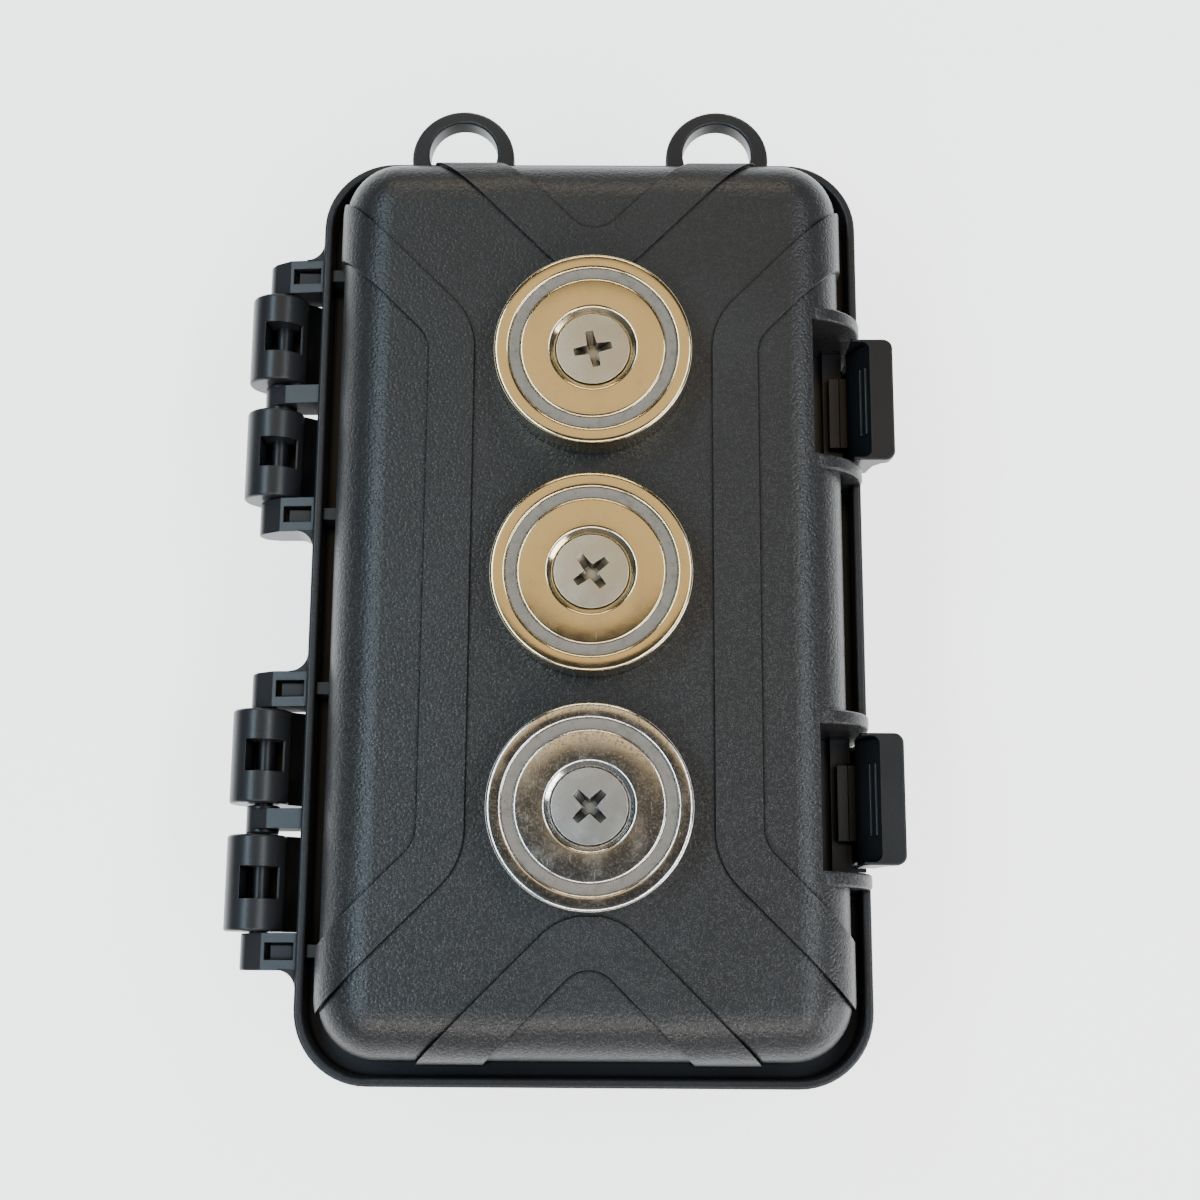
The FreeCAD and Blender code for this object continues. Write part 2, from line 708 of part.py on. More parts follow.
def base_knuckles():
    """Give what the base's hinge side adds and what is cut from it."""
    added = []
    removed = []
    inside = D.lip_wall / 2 - D.rim_hinge_side
    for title, centre in hinge_centres():
        for side in (-1, 1):
            name = "knuckle_%s_%s" % (title, "far" if side > 0 else "near")
            low = centre + (D.knuckle_near if side > 0 else -D.knuckle_far)
            length = D.knuckle_far - D.knuckle_near
            x = -D.pin_x - D.knuckle_shift
            barrel = rod(name + "_barrel", D.knuckle_radius, length, x, low, D.pin_z, "Y")
            added.append(soften(name, barrel, D.edge_round, is_circle))
            added.append(prism(name + "_arm", [[
                (inside, D.lip_bottom + 0.4),
                (inside, BASE_TOP),
                (-D.rim_hinge_side - 0.7, BASE_TOP),
                (x + D.knuckle_radius * 0.98, D.pin_z - D.knuckle_radius * 0.15),
                (x, D.pin_z),
                (x - D.knuckle_radius * 0.6, D.pin_z - D.knuckle_radius * 0.8),
                (x + 3.5, D.lip_bottom + 0.4),
            ]], "XZ_Plane", low, low + length))
            middle = low + length / 2
            for part, inner_edge, floor in (
                ("window", D.window_in, D.pin_z - D.window_depth),
                ("sill", D.window_in + D.sill_width, D.pin_z + D.sill_height),
            ):
                removed.append(box(
                    "%s_%s" % (name, part), -D.pin_x - D.window_out, inner_edge - D.pin_x,
                    middle - D.window_length / 2, middle + D.window_length / 2,
                    floor, D.pin_z + BEYOND,
                ))
        removed.append(rod(
            "knuckle_%s_bore" % title, D.pin_radius + D.press_gap, D.knuckle_far * 2 + 2,
            -D.pin_x, centre - D.knuckle_far - 1, D.pin_z, "Y",
        ))
    return added, removed


def seal_ring(name, width, low, high):
    """Make a closed ring that runs along the middle of the body wall."""
    rings = []
    for title, inset in (("outer", D.seal_inset - width / 2), ("inner", D.seal_inset + width / 2)):
        extra = 1 if title == "inner" else 0
        rings.append(rounded_block(
            "%s_%s" % (name, title), body_sides(-inset), low - extra, high + extra,
            D.body_corner - inset,
        ))
    return cut(name, rings[0], rings[1])


def make_base_shell():
    """Make the deep shell that lies on the ground and carries hinge pins and latches."""
    added, removed = base_knuckles()
    low = D.band_relief
    plain = rounded_block(
        "base_body", body_sides(), low, BASE_TOP, D.body_corner, low, D.face_round
    )
    bands = raised_bands("base_bands", Size.of(0), BASE_TOP, Size.of(0))
    rim = tray(
        "base_rim", D.lip_bottom, BASE_TOP, D.lip_bottom - 2, BASE_FLOOR, D.lip_wall, D.lip_bottom
    )
    guards = guard_ribs("base_guards", D.guard_foot, D.guard_foot, BASE_TOP, low, BASE_TOP)
    solid = fuse("base_solid", [plain, bands, rim, guards] + added)
    removed += side_cutters(
        "base_pocket", pocket_centres(), D.pocket_back, HALF_POCKET, D.pocket_floor, BASE_FLOOR
    )
    removed += side_cutters(
        "base_ledge", pocket_centres(), D.ledge_edge, HALF_POCKET, BASE_FLOOR - 1, BASE_TOP + 1
    )
    for title, centre in pocket_centres():
        reach = HALF_POCKET + D.guard_thick + 1
        removed.append(rod(
            "pivot_bore_%s" % title, D.pivot_radius + D.press_gap, reach * 2,
            D.pivot_x, centre - reach, D.pivot_z, "Y",
        ))
    removed.append(seal_ring("seal_groove", D.groove_width, BASE_TOP - D.groove_depth, BASE_TOP + 1))
    inside = low + D.wall
    removed.append(cavity(
        "base_inside", inside, BASE_TOP + 2, inside, D.pocket_floor - D.wall, BASE_TOP + 3
    ))
    return finish_part(cut("base_shell", solid, fuse("base_cutters", removed)), "base_shell")


def tab_hollow(name, half):
    """Make the cutter for the hollow behind the finger tab, with rounded inner corners."""
    back = D.plate_outer + 0.1
    slope = prism(name + "_slope", [[
        (back, D.tab_top + 1),
        (back, D.tab_top),
        (D.plate_inner + 1.2, D.tab_top - 3.4),
        (D.plate_inner, D.tab_top - 7.4),
        (D.plate_inner - 3, D.tab_top - 7.4),
        (D.plate_inner - 3, D.tab_top + 1),
    ]], "XZ_Plane", -half, half)
    plan = rounded_block(
        name + "_hollow_plan", (D.plate_inner - 6, back, -half, half),
        D.tab_top - 9, D.tab_top + 2, Size.of(1.4),
    )
    return common(name + "_hollow", slope, plan)


def make_latch(title, centre):
    """Make one latch: an eye on its pin, a plate, a hook over the catch and a finger tab."""
    name = "latch_" + title
    half = D.latch_width / 2
    foot = D.pivot_z - D.pivot_boss * 0.8
    plate = prism(name + "_plate", [[
        (D.pivot_x, foot),
        (D.pivot_x + 2.0, foot),
        (D.plate_outer, D.pivot_z + 1.2),
        (D.plate_outer, D.tab_top - 8.0),
        (D.plate_outer + 0.7, D.tab_top - 4.0),
        (D.plate_outer + 2.0, D.tab_top - 2.2),
        (D.tab_edge, D.tab_top - 1.7),
        (D.tab_edge, D.tab_top),
        (D.plate_inner, D.tab_top),
        (D.plate_inner, D.pivot_z + 2.4),
        (D.pivot_x, D.pivot_z + 2.4),
    ]], "XZ_Plane", -half, half)

    def at_tab_corner(edge):
        corner = edge.BoundBox
        outside = abs(corner.XMin - D.tab_edge.value) < EDGE_TOLERANCE
        return is_upright(edge) and outside

    round_edges(plate, name + "_corners", D.tab_corner, at_tab_corner)
    round_edges(plate, name + "_rim", D.edge_round * 0.6, lies_at(D.tab_top))
    eye = rod(name + "_eye", D.pivot_boss, D.latch_width, D.pivot_x, -half, D.pivot_z, "Y")
    hook = box(
        name + "_hook", D.hook_tip, D.plate_inner + 1, -D.catch_width / 2, D.catch_width / 2,
        LID_FLOOR + 0.2, D.catch_top,
    )
    ridges = []
    for number, (x, z) in enumerate(((1.65, -2.5), (2.35, -1.2)), start=1):
        ridges.append(rod(
            "%s_ridge_%d" % (name, number), D.ridge_radius, D.ridge_length,
            D.plate_inner + x, -D.ridge_length / 2, D.tab_top + z, "Y",
        ))
    clear = [tab_hollow(name, half - D.tab_end_wall)]
    for title, low, high in (
        ("near", -half - 1, D.plate_step - half), ("far", half - D.plate_step, half + 1),
    ):
        clear.append(box(
            "%s_%s_step" % (name, title), D.pivot_x - 1, D.plate_outer + 1, low, high,
            D.pivot_z + D.pivot_boss + 0.6, D.plate_top,
        ))
    hollowed = cut(name + "_hollowed", plate, fuse(name + "_clear", clear))
    solid = fuse(name + "_solid", [hollowed, eye, hook] + ridges)
    bore = rod(
        name + "_bore", D.pivot_radius + D.running_gap, D.latch_width + 2,
        D.pivot_x, -half - 1, D.pivot_z, "Y",
    )
    return finish_part(cut(name, solid, bore), name, y=centre)


def make_pin(name, radius, length, x, centre, z):
    """Make one plain pin with its middle at a place along the case."""
    pin = rod(name, radius, length, 0, 0, 0, "Y")
    return finish_part(pin, name, x, centre - length / 2, z)


def revolve(name, points):
    """Turn an outline of radius and height about the Z axis."""
    body = DOC.addObject("PartDesign::Body", name)
    sketch = new_sketch(body, name + "_section", "XZ_Plane", 0)
    draw_polygon(sketch, points)
    turned = body.newObject("PartDesign::Revolution", name + "_turned")
    turned.Profile = sketch
    turned.ReferenceAxis = (sketch, ["V_Axis"])
    turned.Angle = 360.0
    body.Tip = turned
    DOC.recompute()
    return body


def make_magnet(number, y, turn):
    """Make one pot magnet with its screw, washer and nut; heights are from the magnet face."""
    top = D.magnet_height
    inner_z = -D.wall
    sink_end = top - (D.sink_radius - D.screw_hole)
    cup = revolve("cup_%d" % number, [
        (D.screw_hole, 0), (D.cup_radius - 0.3, 0), (D.cup_radius, 0.3),
        (D.cup_radius, top - D.cup_bevel), (D.cup_radius - D.cup_bevel, top),
        (D.cup_bore, top), (D.cup_bore, D.cup_floor), (D.screw_hole, D.cup_floor),
    ])
    disc = revolve("disc_%d" % number, [
        (D.screw_hole, D.cup_floor), (D.disc_radius, D.cup_floor), (D.disc_radius, top - 0.2),
        (D.disc_radius - 0.2, top), (D.sink_radius, top), (D.screw_hole, sink_end),
    ])
    filler = revolve("filler_%d" % number, [
        (D.disc_radius, D.cup_floor), (D.cup_bore, D.cup_floor),
        (D.cup_bore, top - D.filler_drop), (D.disc_radius, top - D.filler_drop),
    ])
    head_top = top - D.screw_drop
    cone_top = head_top - D.head_edge
    cone_end = cone_top - (D.screw_head - D.screw_radius)
    tip = head_top - D.screw_length
    turned = revolve("screw_%d_turned" % number, [
        (0, tip), (D.screw_radius - 0.6, tip), (D.screw_radius, tip + 0.6),
        (D.screw_radius, cone_end), (D.screw_head, cone_top), (D.screw_head, head_top),
        (0, head_top),
    ])
    bars = []
    for title, across, along in (
        ("a", D.cross_length, D.cross_width), ("b", D.cross_width, D.cross_length),
    ):
        bars.append(box(
            "cross_%d_%s" % (number, title), -across / 2, across / 2, -along / 2, along / 2,
            head_top - D.cross_depth, head_top + 1,
        ))
    screw = cut("screw_%d" % number, turned, fuse("cross_%d" % number, bars))
    washer = revolve("washer_%d" % number, [
        (D.screw_hole, inner_z - D.washer_thick), (D.washer_radius, inner_z - D.washer_thick),
        (D.washer_radius, inner_z), (D.screw_hole, inner_z),
    ])
    nut_top = inner_z - D.washer_thick
    corner = D.nut_flats / math.sqrt(3)
    hexagon = [
        (corner * math.cos(math.radians(60 * step)), corner * math.sin(math.radians(60 * step)))
        for step in range(6)
    ]
    block = prism("nut_%d_block" % number, [hexagon], "XY_Plane", nut_top - D.nut_height, nut_top)
    nut = cut("nut_%d" % number, block, rod(
        "nut_%d_bore" % number, D.nut_bore, D.nut_height + 2, 0, 0, nut_top - D.nut_height - 1
    ))
    pieces = []
    for title, piece in (
        ("magnet_cup", cup), ("magnet_ring", disc), ("magnet_filler", filler),
        ("magnet_screw", screw), ("magnet_washer", washer), ("magnet_nut", nut),
    ):
        if title == "magnet_screw":
            piece.Placement.Rotation = FreeCAD.Rotation(FreeCAD.Vector(0, 0, 1), turn)
        label = "%s_%d" % (title, number)
        pieces.append(finish_part(piece, label, D.pattern_shift, y, D.top_face))
    return pieces


def make_all():
    """Build every sub-part and return them in order."""
    parts = [make_base_shell(), make_lid_shell()]
    seal_low = BASE_TOP - D.groove_depth
    seal = seal_ring("lid_seal", D.seal_width, seal_low, seal_low + D.seal_height)
    parts.append(finish_part(seal, "lid_seal"))
    for title, centre in hinge_centres():
        parts.append(make_pin(
            "hinge_pin_" + title, D.pin_radius, D.pin_length, -D.pin_x, centre, D.pin_z
        ))
    length = D.pocket_width + D.guard_thick * 2 - 0.6
    for (title, place_along), (_, centre) in zip(latch_centres(), pocket_centres()):
        parts.append(make_latch(title, place_along))
        parts.append(make_pin(
            "latch_pin_" + title, D.pivot_radius, length, D.pivot_x, centre, D.pivot_z
        ))
    for number, (y, turn) in enumerate(zip(magnet_centres(), (8, 37, 45)), start=1):
        parts += make_magnet(number, y, turn)
    return parts


def report_trouble(parts):
    """Stop the build where any object failed or any sub-part has no sound shape."""
    for thing in DOC.Objects:
        if "Invalid" in thing.State or "Error" in thing.State:
            raise RuntimeError("%s did not compute: %s" % (thing.Name, thing.State))
    for part in parts:
        shape = part.Shape
        if shape.isNull() or not shape.isValid() or not shape.Solids:
            raise RuntimeError("%s has no sound shape" % part.Label)
        bounds = shape.BoundBox
        print("%-18s solids %d  x %.2f..%.2f  y %.2f..%.2f  z %.2f..%.2f  volume %.0f" % (
            part.Label, len(shape.Solids), bounds.XMin, bounds.XMax, bounds.YMin, bounds.YMax,
            bounds.ZMin, bounds.ZMax, shape.Volume,
        ))


os.makedirs("parts", exist_ok=True)
PARTS = make_all()
DOC.recompute()
report_trouble(PARTS)
for finished in PARTS:
    finished.Shape.exportStep("parts/%s.step" % finished.Label)
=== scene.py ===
"""Looks of the magnetic key holder box: finishes, turned magnets, seal, studio and camera.

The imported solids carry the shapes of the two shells, the latches and the pins. This script dresses
them, and builds the turned and moulded pieces whose edges are too fine for the solids: the pot
magnets with their countersunk screws, the nuts and washers behind them and the lipped seal.
"""

import json
import logging
import math
from dataclasses import dataclass, field
from enum import Enum
from typing import Any, Iterable, Sequence

import bmesh
import bpy
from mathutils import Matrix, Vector

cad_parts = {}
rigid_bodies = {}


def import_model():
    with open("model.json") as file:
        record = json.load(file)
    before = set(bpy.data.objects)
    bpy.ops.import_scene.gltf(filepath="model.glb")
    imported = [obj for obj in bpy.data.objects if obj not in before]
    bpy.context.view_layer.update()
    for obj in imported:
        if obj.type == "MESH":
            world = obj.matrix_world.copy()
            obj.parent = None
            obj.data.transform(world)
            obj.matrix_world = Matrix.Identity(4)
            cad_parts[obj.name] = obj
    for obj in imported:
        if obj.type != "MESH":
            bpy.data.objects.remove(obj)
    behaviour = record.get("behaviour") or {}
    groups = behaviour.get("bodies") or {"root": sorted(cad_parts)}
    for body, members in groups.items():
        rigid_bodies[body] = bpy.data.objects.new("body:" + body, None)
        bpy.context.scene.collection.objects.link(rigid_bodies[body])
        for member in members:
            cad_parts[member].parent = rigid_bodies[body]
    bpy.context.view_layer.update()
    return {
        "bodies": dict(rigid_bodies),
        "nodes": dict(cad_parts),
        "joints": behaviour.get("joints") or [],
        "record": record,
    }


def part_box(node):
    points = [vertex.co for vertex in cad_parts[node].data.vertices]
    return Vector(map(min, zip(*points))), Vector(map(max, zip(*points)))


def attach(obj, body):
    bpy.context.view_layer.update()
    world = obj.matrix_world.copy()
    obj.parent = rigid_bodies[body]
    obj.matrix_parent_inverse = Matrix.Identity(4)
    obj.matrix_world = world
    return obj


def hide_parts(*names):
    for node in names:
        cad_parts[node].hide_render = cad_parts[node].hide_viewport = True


LOG = logging.getLogger("key_box")
MM = 0.001
TURNED_CREASE = 32.0
CARVED_CREASE = 30.0
LONGEST_EASE = 0.48
ON_AXIS = 1e-6

Colour = tuple[float, float, float]
Point = tuple[float, float]
Span = tuple[float, float]
Triple = tuple[float, float, float]


# ------------------------------------------------------------------ shader maths


class Socket:
    """A node's output that can be used in a Python expression."""

    def __init__(self, graph: "Graph", link: bpy.types.NodeSocket) -> None:
        """Keep the graph that the output belongs to.

        Args:
            graph: the shader graph that new nodes are added to.
            link: the node output itself.
        """
        self.graph = graph
        self.link = link

    def _math(self, operation: str, first: Any, second: Any = 0.0) -> "Socket":
        """Add one Math node and return its value."""
        return self.graph.node(
            "ShaderNodeMath", {"operation": operation}, {0: first, 1: second}
        )

    def __add__(self, other: Any) -> "Socket":
        """Return self + other."""
        return self._math("ADD", self, other)

    __radd__ = __add__

    def __sub__(self, other: Any) -> "Socket":
        """Return self - other."""
        return self._math("SUBTRACT", self, other)

    def __rsub__(self, other: Any) -> "Socket":
        """Return other - self."""
        return self._math("SUBTRACT", other, self)

    def __mul__(self, other: Any) -> "Socket":
        """Return self * other."""
        return self._math("MULTIPLY", self, other)

    __rmul__ = __mul__

    def __pow__(self, other: Any) -> "Socket":
        """Return self raised to other."""
        return self._math("POWER", self, other)

    def __rpow__(self, other: Any) -> "Socket":
        """Return other raised to self."""
        return self._math("POWER", other, self)

    def __abs__(self) -> "Socket":
        """Return the size of self without its sign."""
        return self._math("ABSOLUTE", self)

    def clamped(self) -> "Socket":
        """Return self held between 0 and 1."""
        return self.graph.node("ShaderNodeClamp", inputs={"Value": self})

    def larger(self, other: Any) -> "Socket":
        """Return the larger of self and other."""
        return self._math("MAXIMUM", self, other)

    def step(self, low: float, high: float) -> "Socket":
        """Return a smooth step that is 0 below low and 1 above high.

        Args:
            low: where the step starts.
            high: where the step ends; it may be less than low for a falling step.

        Returns:
            The step's value.
        """
        return self.graph.node(
            "ShaderNodeMapRange",
            {"interpolation_type": "SMOOTHSTEP"},
            {"Value": self, "From Min": low, "From Max": high},
        )


class Graph:
    """A shader graph that expressions add their nodes to."""

    def __init__(self, tree: bpy.types.NodeTree) -> None:
        """Start from an empty node tree.

        Args:
            tree: the node tree of a material or of the surroundings.
        """
        self.tree = tree
        self.tree.nodes.clear()

    def feed(self, target: bpy.types.NodeSocket, value: Any) -> None:
        """Give an input a link or a constant.

        Args:
            target: the input.
            value: a Socket to link, or a number, colour or vector to set.
        """
        if isinstance(value, Socket):
            self.tree.links.new(value.link, target)
        elif target.type == "RGBA" and len(value) == 3:
            target.default_value = (*value, 1.0)
        else:
            target.default_value = value

    def node(
        self,
        kind: str,
        settings: dict[str, Any] | None = None,
        inputs: dict[str | int, Any] | None = None,
        output: str | int = 0,
    ) -> Socket:
        """Add one node.

        Args:
            kind: the node's type.
            settings: its settings, such as a Math node's operation.
            inputs: the values or links of its inputs, by name or number.
            output: the output to return.

        Returns:
            The chosen output.
        """
        made = self.tree.nodes.new(kind)
        for key, value in (settings or {}).items():
            setattr(made, key, value)
        for key, value in (inputs or {}).items():
            self.feed(made.inputs[key], value)
        return Socket(self, made.outputs[output])

    def mixed(self, factor: Any, first: Any, second: Any) -> Socket:
        """Return a colour between first and second."""
        return self.node(
            "ShaderNodeMix", {"data_type": "RGBA"}, {0: factor, 6: first, 7: second}, 2
        )

    def place(self) -> Socket:
        """Return the surface point in the object's own metres."""
        return self.node("ShaderNodeTexCoord", output="Object")

    def part(self, axis: str, vector: Socket) -> Socket:
        """Return one coordinate of a vector."""
        return self.node("ShaderNodeSeparateXYZ", inputs={"Vector": vector}, output=axis)

    def noise(self, vector: Socket, size: float, detail: float = 2.0, rough: float = 0.5) -> Socket:
        """Return smooth noise.

        Args:
            vector: the point that is looked up.
            size: the size of a blotch in metres.
            detail: how many finer layers are added.
            rough: how strong the finer layers are.

        Returns:
            The noise, about 0.5 on average.
        """
        return self.node(
            "ShaderNodeTexNoise",
            inputs={"Vector": vector, "Scale": 1.0 / size, "Detail": detail, "Roughness": rough},
        )

    def cells(self, vector: Socket, size: float) -> Socket:
        """Return the distance to the nearest of scattered points.

        Args:
            vector: the point that is looked up.
            size: the spacing of the points in metres.

        Returns:
            The distance, 0 at a point.
        """
        return self.node(
            "ShaderNodeTexVoronoi",
            {"feature": "F1"},
            {"Vector": vector, "Scale": 1.0 / size},
            "Distance",
        )

    def stretched(self, vector: Socket, scale: Triple) -> Socket:
        """Return a vector with each coordinate multiplied."""
        return self.node(
            "ShaderNodeVectorMath", {"operation": "MULTIPLY"}, {0: vector, 1: scale}
        )

    def eased_edges(self, radius: float) -> Socket:
        """Return a normal that rolls over sharp edges."""
        return self.node("ShaderNodeBevel", {"samples": 4}, {"Radius": radius})

    def wear(self, radius: float) -> Socket:
        """Return a mask that is 1 where an edge turns sharply and 0 on a flat.

        Args:
            radius: how far the mask reaches from the edge, in metres.

        Returns:
            The mask.
        """
        turned = self.eased_edges(radius)
        flat = self.node("ShaderNodeNewGeometry", output="Normal")
        along = self.node(
            "ShaderNodeVectorMath", {"operation": "DOT_PRODUCT"}, {0: turned, 1: flat}, "Value"
        )
        return (1.0 - along).step(0.01, 0.20)

    def hollow(self, reach: float) -> Socket:
        """Return a mask that is 1 deep in a recess of the piece and 0 in the open."""
        return 1.0 - self.node(
            "ShaderNodeAmbientOcclusion", {"samples": 6, "only_local": True},
            {"Distance": reach}, "AO",
        )

    def bumped(self, height: Socket, depth: float, normal: Socket | None = None) -> Socket:
        """Return a normal bent by a height.

        Args:
            height: the height, from 0 to 1.
            depth: what a height of 1 stands for, in metres.
            normal: the normal that is bent, or None for the surface's own.

        Returns:
            The bent normal.
        """
        inputs: dict[str | int, Any] = {"Height": height, "Distance": depth, "Strength": 1.0}
        if normal is not None:
            inputs["Normal"] = normal
        return self.node("ShaderNodeBump", inputs=inputs)


class SurfaceGraph(Graph):
    """One material's shader graph round a Principled shader."""

    def __init__(self, name: str) -> None:
        """Make the material with its shader and output.

        Args:
            name: the material's name.
        """
        self.material = bpy.data.materials.new(name)
        self.material.use_nodes = True
        super().__init__(self.material.node_tree)
        output = self.tree.nodes.new("ShaderNodeOutputMaterial")
        self.shader = self.tree.nodes.new("ShaderNodeBsdfPrincipled")
        self.tree.links.new(self.shader.outputs["BSDF"], output.inputs["Surface"])

    def dress(self, **values: Any) -> bpy.types.Material:
        """Feed the Principled shader's inputs.

        Args:
            values: the inputs' values, each named with underscores for spaces.

        Returns:
            The material.
        """
        for key, value in values.items():
            self.feed(self.shader.inputs[key.replace("_", " ")], value)
        return self.material


# ------------------------------------------------------------------ finishes


@dataclass(frozen=True)
class MouldedPlastic:
    """Black moulded plastic: spark-eroded grain on the body, satin on ribs, lips and latches.

    Lengths are in metres. grain_from and grain_to are the heights between which the grain lies.
    The last field's span runs along the box, from where the painted glints and the painted crease
    shade are weak to where they are full: they are painted stronger towards the near end of the box.
    """

    name: str
    colour: Colour = (0.0145, 0.0146, 0.0154)
    smooth: Colour = (0.0155, 0.0162, 0.0185)
    # Painted highlight colour of the sparse glints on the grain.
    glint: Colour = (0.150, 0.141, 0.136)
    dust: Colour = (0.040, 0.041, 0.044)
    scuff: Colour = (0.055, 0.055, 0.056)
    # Painted shade colour laid into creases and the feet of steps.
    crease: Colour = (0.002, 0.002, 0.002)
    grain: float = 0.00046
    depth: float = 0.000074
    blotch: float = 0.030
    # Spacing and patch size of the painted glints.
    glint_spacing: float = 0.00022
    glint_patch_size: float = 0.0006
    rub: float = 0.00035
    rub_patch: float = 0.0012
    crease_shade_reach: float = 0.0008
    edge_ease: float = 0.00018
    grain_from: float = -1.0
    grain_to: float = 1.0
    # Y span of the painted falloff of glints and crease shade.
    painted_light_span: Span = (0.060, -0.050)

    def grained(self, graph: SurfaceGraph, place: Socket) -> Socket:
        """Return a mask that is 1 where the mould is spark-eroded and 0 where it is satin.

        Args:
            graph: the material's shader graph.
            place: the surface point.

        Returns:
            The mask.
        """
        height = graph.part("Z", place)
        begins = height.step(self.grain_from - 0.0004, self.grain_from + 0.0006)
        ends = height.step(self.grain_to + 0.0006, self.grain_to - 0.0004)
        return begins * ends

    def make(self) -> bpy.types.Material:
        """Build the material.

        Returns:
            The material.
        """
        graph = SurfaceGraph(self.name)
        place = graph.place()
        grained = self.grained(graph, place)
        texture = grained * 0.90 + 0.10
        fine = graph.noise(place, self.grain, 1.5, 0.6)
        pits = graph.cells(place, self.grain * 1.3).step(0.10, 0.65)
        grain = fine * 0.55 + pits * 0.45
        broad = graph.noise(place, self.blotch, 3.0).step(0.42, 0.75)
        rubbed = graph.wear(self.rub)
        # Painted falloff: glints and crease shade are painted stronger towards the near (-Y) end of
        # the box.
        painted_light_falloff = graph.part("Y", place).step(*self.painted_light_span) * 0.60 + 0.40
        # Painted glints: sparse bright dots in the base colour stand in for highlights on the
        # grain's facets, and they also lower the roughness there.
        painted_glints = (
            graph.cells(place, self.glint_spacing).step(0.55, 0.20)
            * graph.noise(place, self.glint_patch_size, 1.0).step(0.25, 0.62) * texture * painted_light_falloff
        )
        # Painted shade: creases and the feet of steps are darkened towards near black, standing in
        # for occlusion shade.
        crease = graph.hollow(self.crease_shade_reach).step(0.10, 0.30) * (painted_light_falloff * 0.5 + 0.5)
        colour = graph.mixed(grained, self.smooth, self.colour)
        colour = graph.mixed(broad * 0.10, colour, self.dust)
        colour = graph.mixed(painted_glints * 0.42, colour, self.glint)
        colour = graph.mixed(
            rubbed * graph.noise(place, self.rub_patch).step(0.38, 0.62) * 0.30, colour, self.scuff
        )
        colour = graph.mixed(crease * 0.9, colour, self.crease)
        roughness = (
            0.31 + grain * texture * 0.10 + broad * 0.04 - rubbed * 0.06 - painted_glints * 0.08
        ).clamped()
        normal = graph.bumped(grain * texture, self.depth, graph.eased_edges(self.edge_ease))
        # Metallic from the painted crease shade dulls the reflection in creases.
        return graph.dress(
            Base_Color=colour, Metallic=crease * 0.6, Roughness=roughness, Normal=normal, IOR=1.42
        )


@dataclass(frozen=True)
class Plated:
    """Bright nickel or zinc plating on turned steel, with handling marks.

    Lengths are in metres. marks and turned say how strong those traces are, up to 1; the recess
    strength says how strongly shade is painted into recesses, up to 1.
    """

    name: str
    colour: Colour
    tarnish: Colour
    roughness: float
    marks: float
    turned: float = 0.0
    # Strength, colour and reach of the shade painted into recesses.
    recess_shade: float = 0.0
    recess_shade_colour: Colour = (0.030, 0.024, 0.018)
    recess_shade_reach: float = 0.0016
    ring: float = 0.00011
    cloud: float = 0.0042
    peel: float = 0.0011
    pit: float = 0.00095
    pit_patch: float = 0.006
    scratch: float = 0.00022
    freckle: float = 0.00040
    depth: float = 0.000010
    edge_ease: float = 0.00012

    def make(self) -> bpy.types.Material:
        """Build the material.

        Returns:
            The material.
        """
        graph = SurfaceGraph(self.name)
        place = graph.place()
        across = graph.part("X", place)
        along = graph.part("Y", place)
        radius = (across * across + along * along) ** 0.5
        rings = graph.noise(
            graph.node("ShaderNodeCombineXYZ", inputs={"X": radius, "Y": 0.0, "Z": 0.0}),
            self.ring, 3.0, 0.7,
        )
        cloud = graph.noise(place, self.cloud, 4.0, 0.6)
        orange_peel = graph.noise(place, self.peel, 2.0)
        pitted = graph.noise(place, self.pit_patch).step(0.46, 0.66)
        pits = graph.cells(place, self.pit).step(0.20, 0.07) * pitted
        scratches = graph.noise(
            graph.stretched(place, (1.0, 0.07, 1.0)), self.scratch, 2.0, 0.6
        ).step(0.66, 0.74)
        freckles = graph.noise(place, self.freckle, 2.0, 0.6).step(0.50, 0.64) * self.marks
        blemish = (
            pits * 0.85 + cloud.step(0.52, 0.78) * 0.35 + freckles * 0.60
        ).clamped() * self.marks
        colour = graph.mixed(blemish, self.colour, self.tarnish)
        # Painted shade: recesses such as a screw's cross drive are darkened towards brown-black,
        # standing in for occlusion shade.
        if self.recess_shade > 0:
            shaded_recess = graph.hollow(self.recess_shade_reach).step(0.12, 0.60) * self.recess_shade
            colour = graph.mixed(shaded_recess, colour, self.recess_shade_colour)
        roughness = (
            self.roughness + cloud.step(0.35, 0.8) * 0.07 + scratches * 0.10
            + blemish * 0.18 + rings * self.turned * 0.22
        ).clamped()
        height = orange_peel * 0.35 + rings * self.turned + pits * -0.6 * self.marks
        normal = graph.bumped(height, self.depth, graph.eased_edges(self.edge_ease))
        return graph.dress(
            Base_Color=colour, Metallic=1.0, Roughness=roughness, Normal=normal
        )


@dataclass(frozen=True)
class PottingResin:
    """Grey casting resin between a magnet and its cup, with dust and small bubbles."""

    name: str
    colour: Colour = (0.205, 0.180, 0.152)
    dark: Colour = (0.065, 0.056, 0.044)
    cloud: float = 0.0016
    bubble: float = 0.0006
    depth: float = 0.00008

    def make(self) -> bpy.types.Material:
        """Build the material.

        Returns:
            The material.
        """
        graph = SurfaceGraph(self.name)
        place = graph.place()
        cloud = graph.noise(place, self.cloud, 4.0, 0.65)
        bubbles = graph.cells(place, self.bubble).step(0.22, 0.05)
        colour = graph.mixed(
            (cloud.step(0.45, 0.75) * 0.45 + bubbles * 0.5).clamped(), self.colour, self.dark
        )
        normal = graph.bumped(cloud * 0.6 - bubbles * 0.5, self.depth)
        return graph.dress(Base_Color=colour, Roughness=cloud * 0.20 + 0.62, Normal=normal)


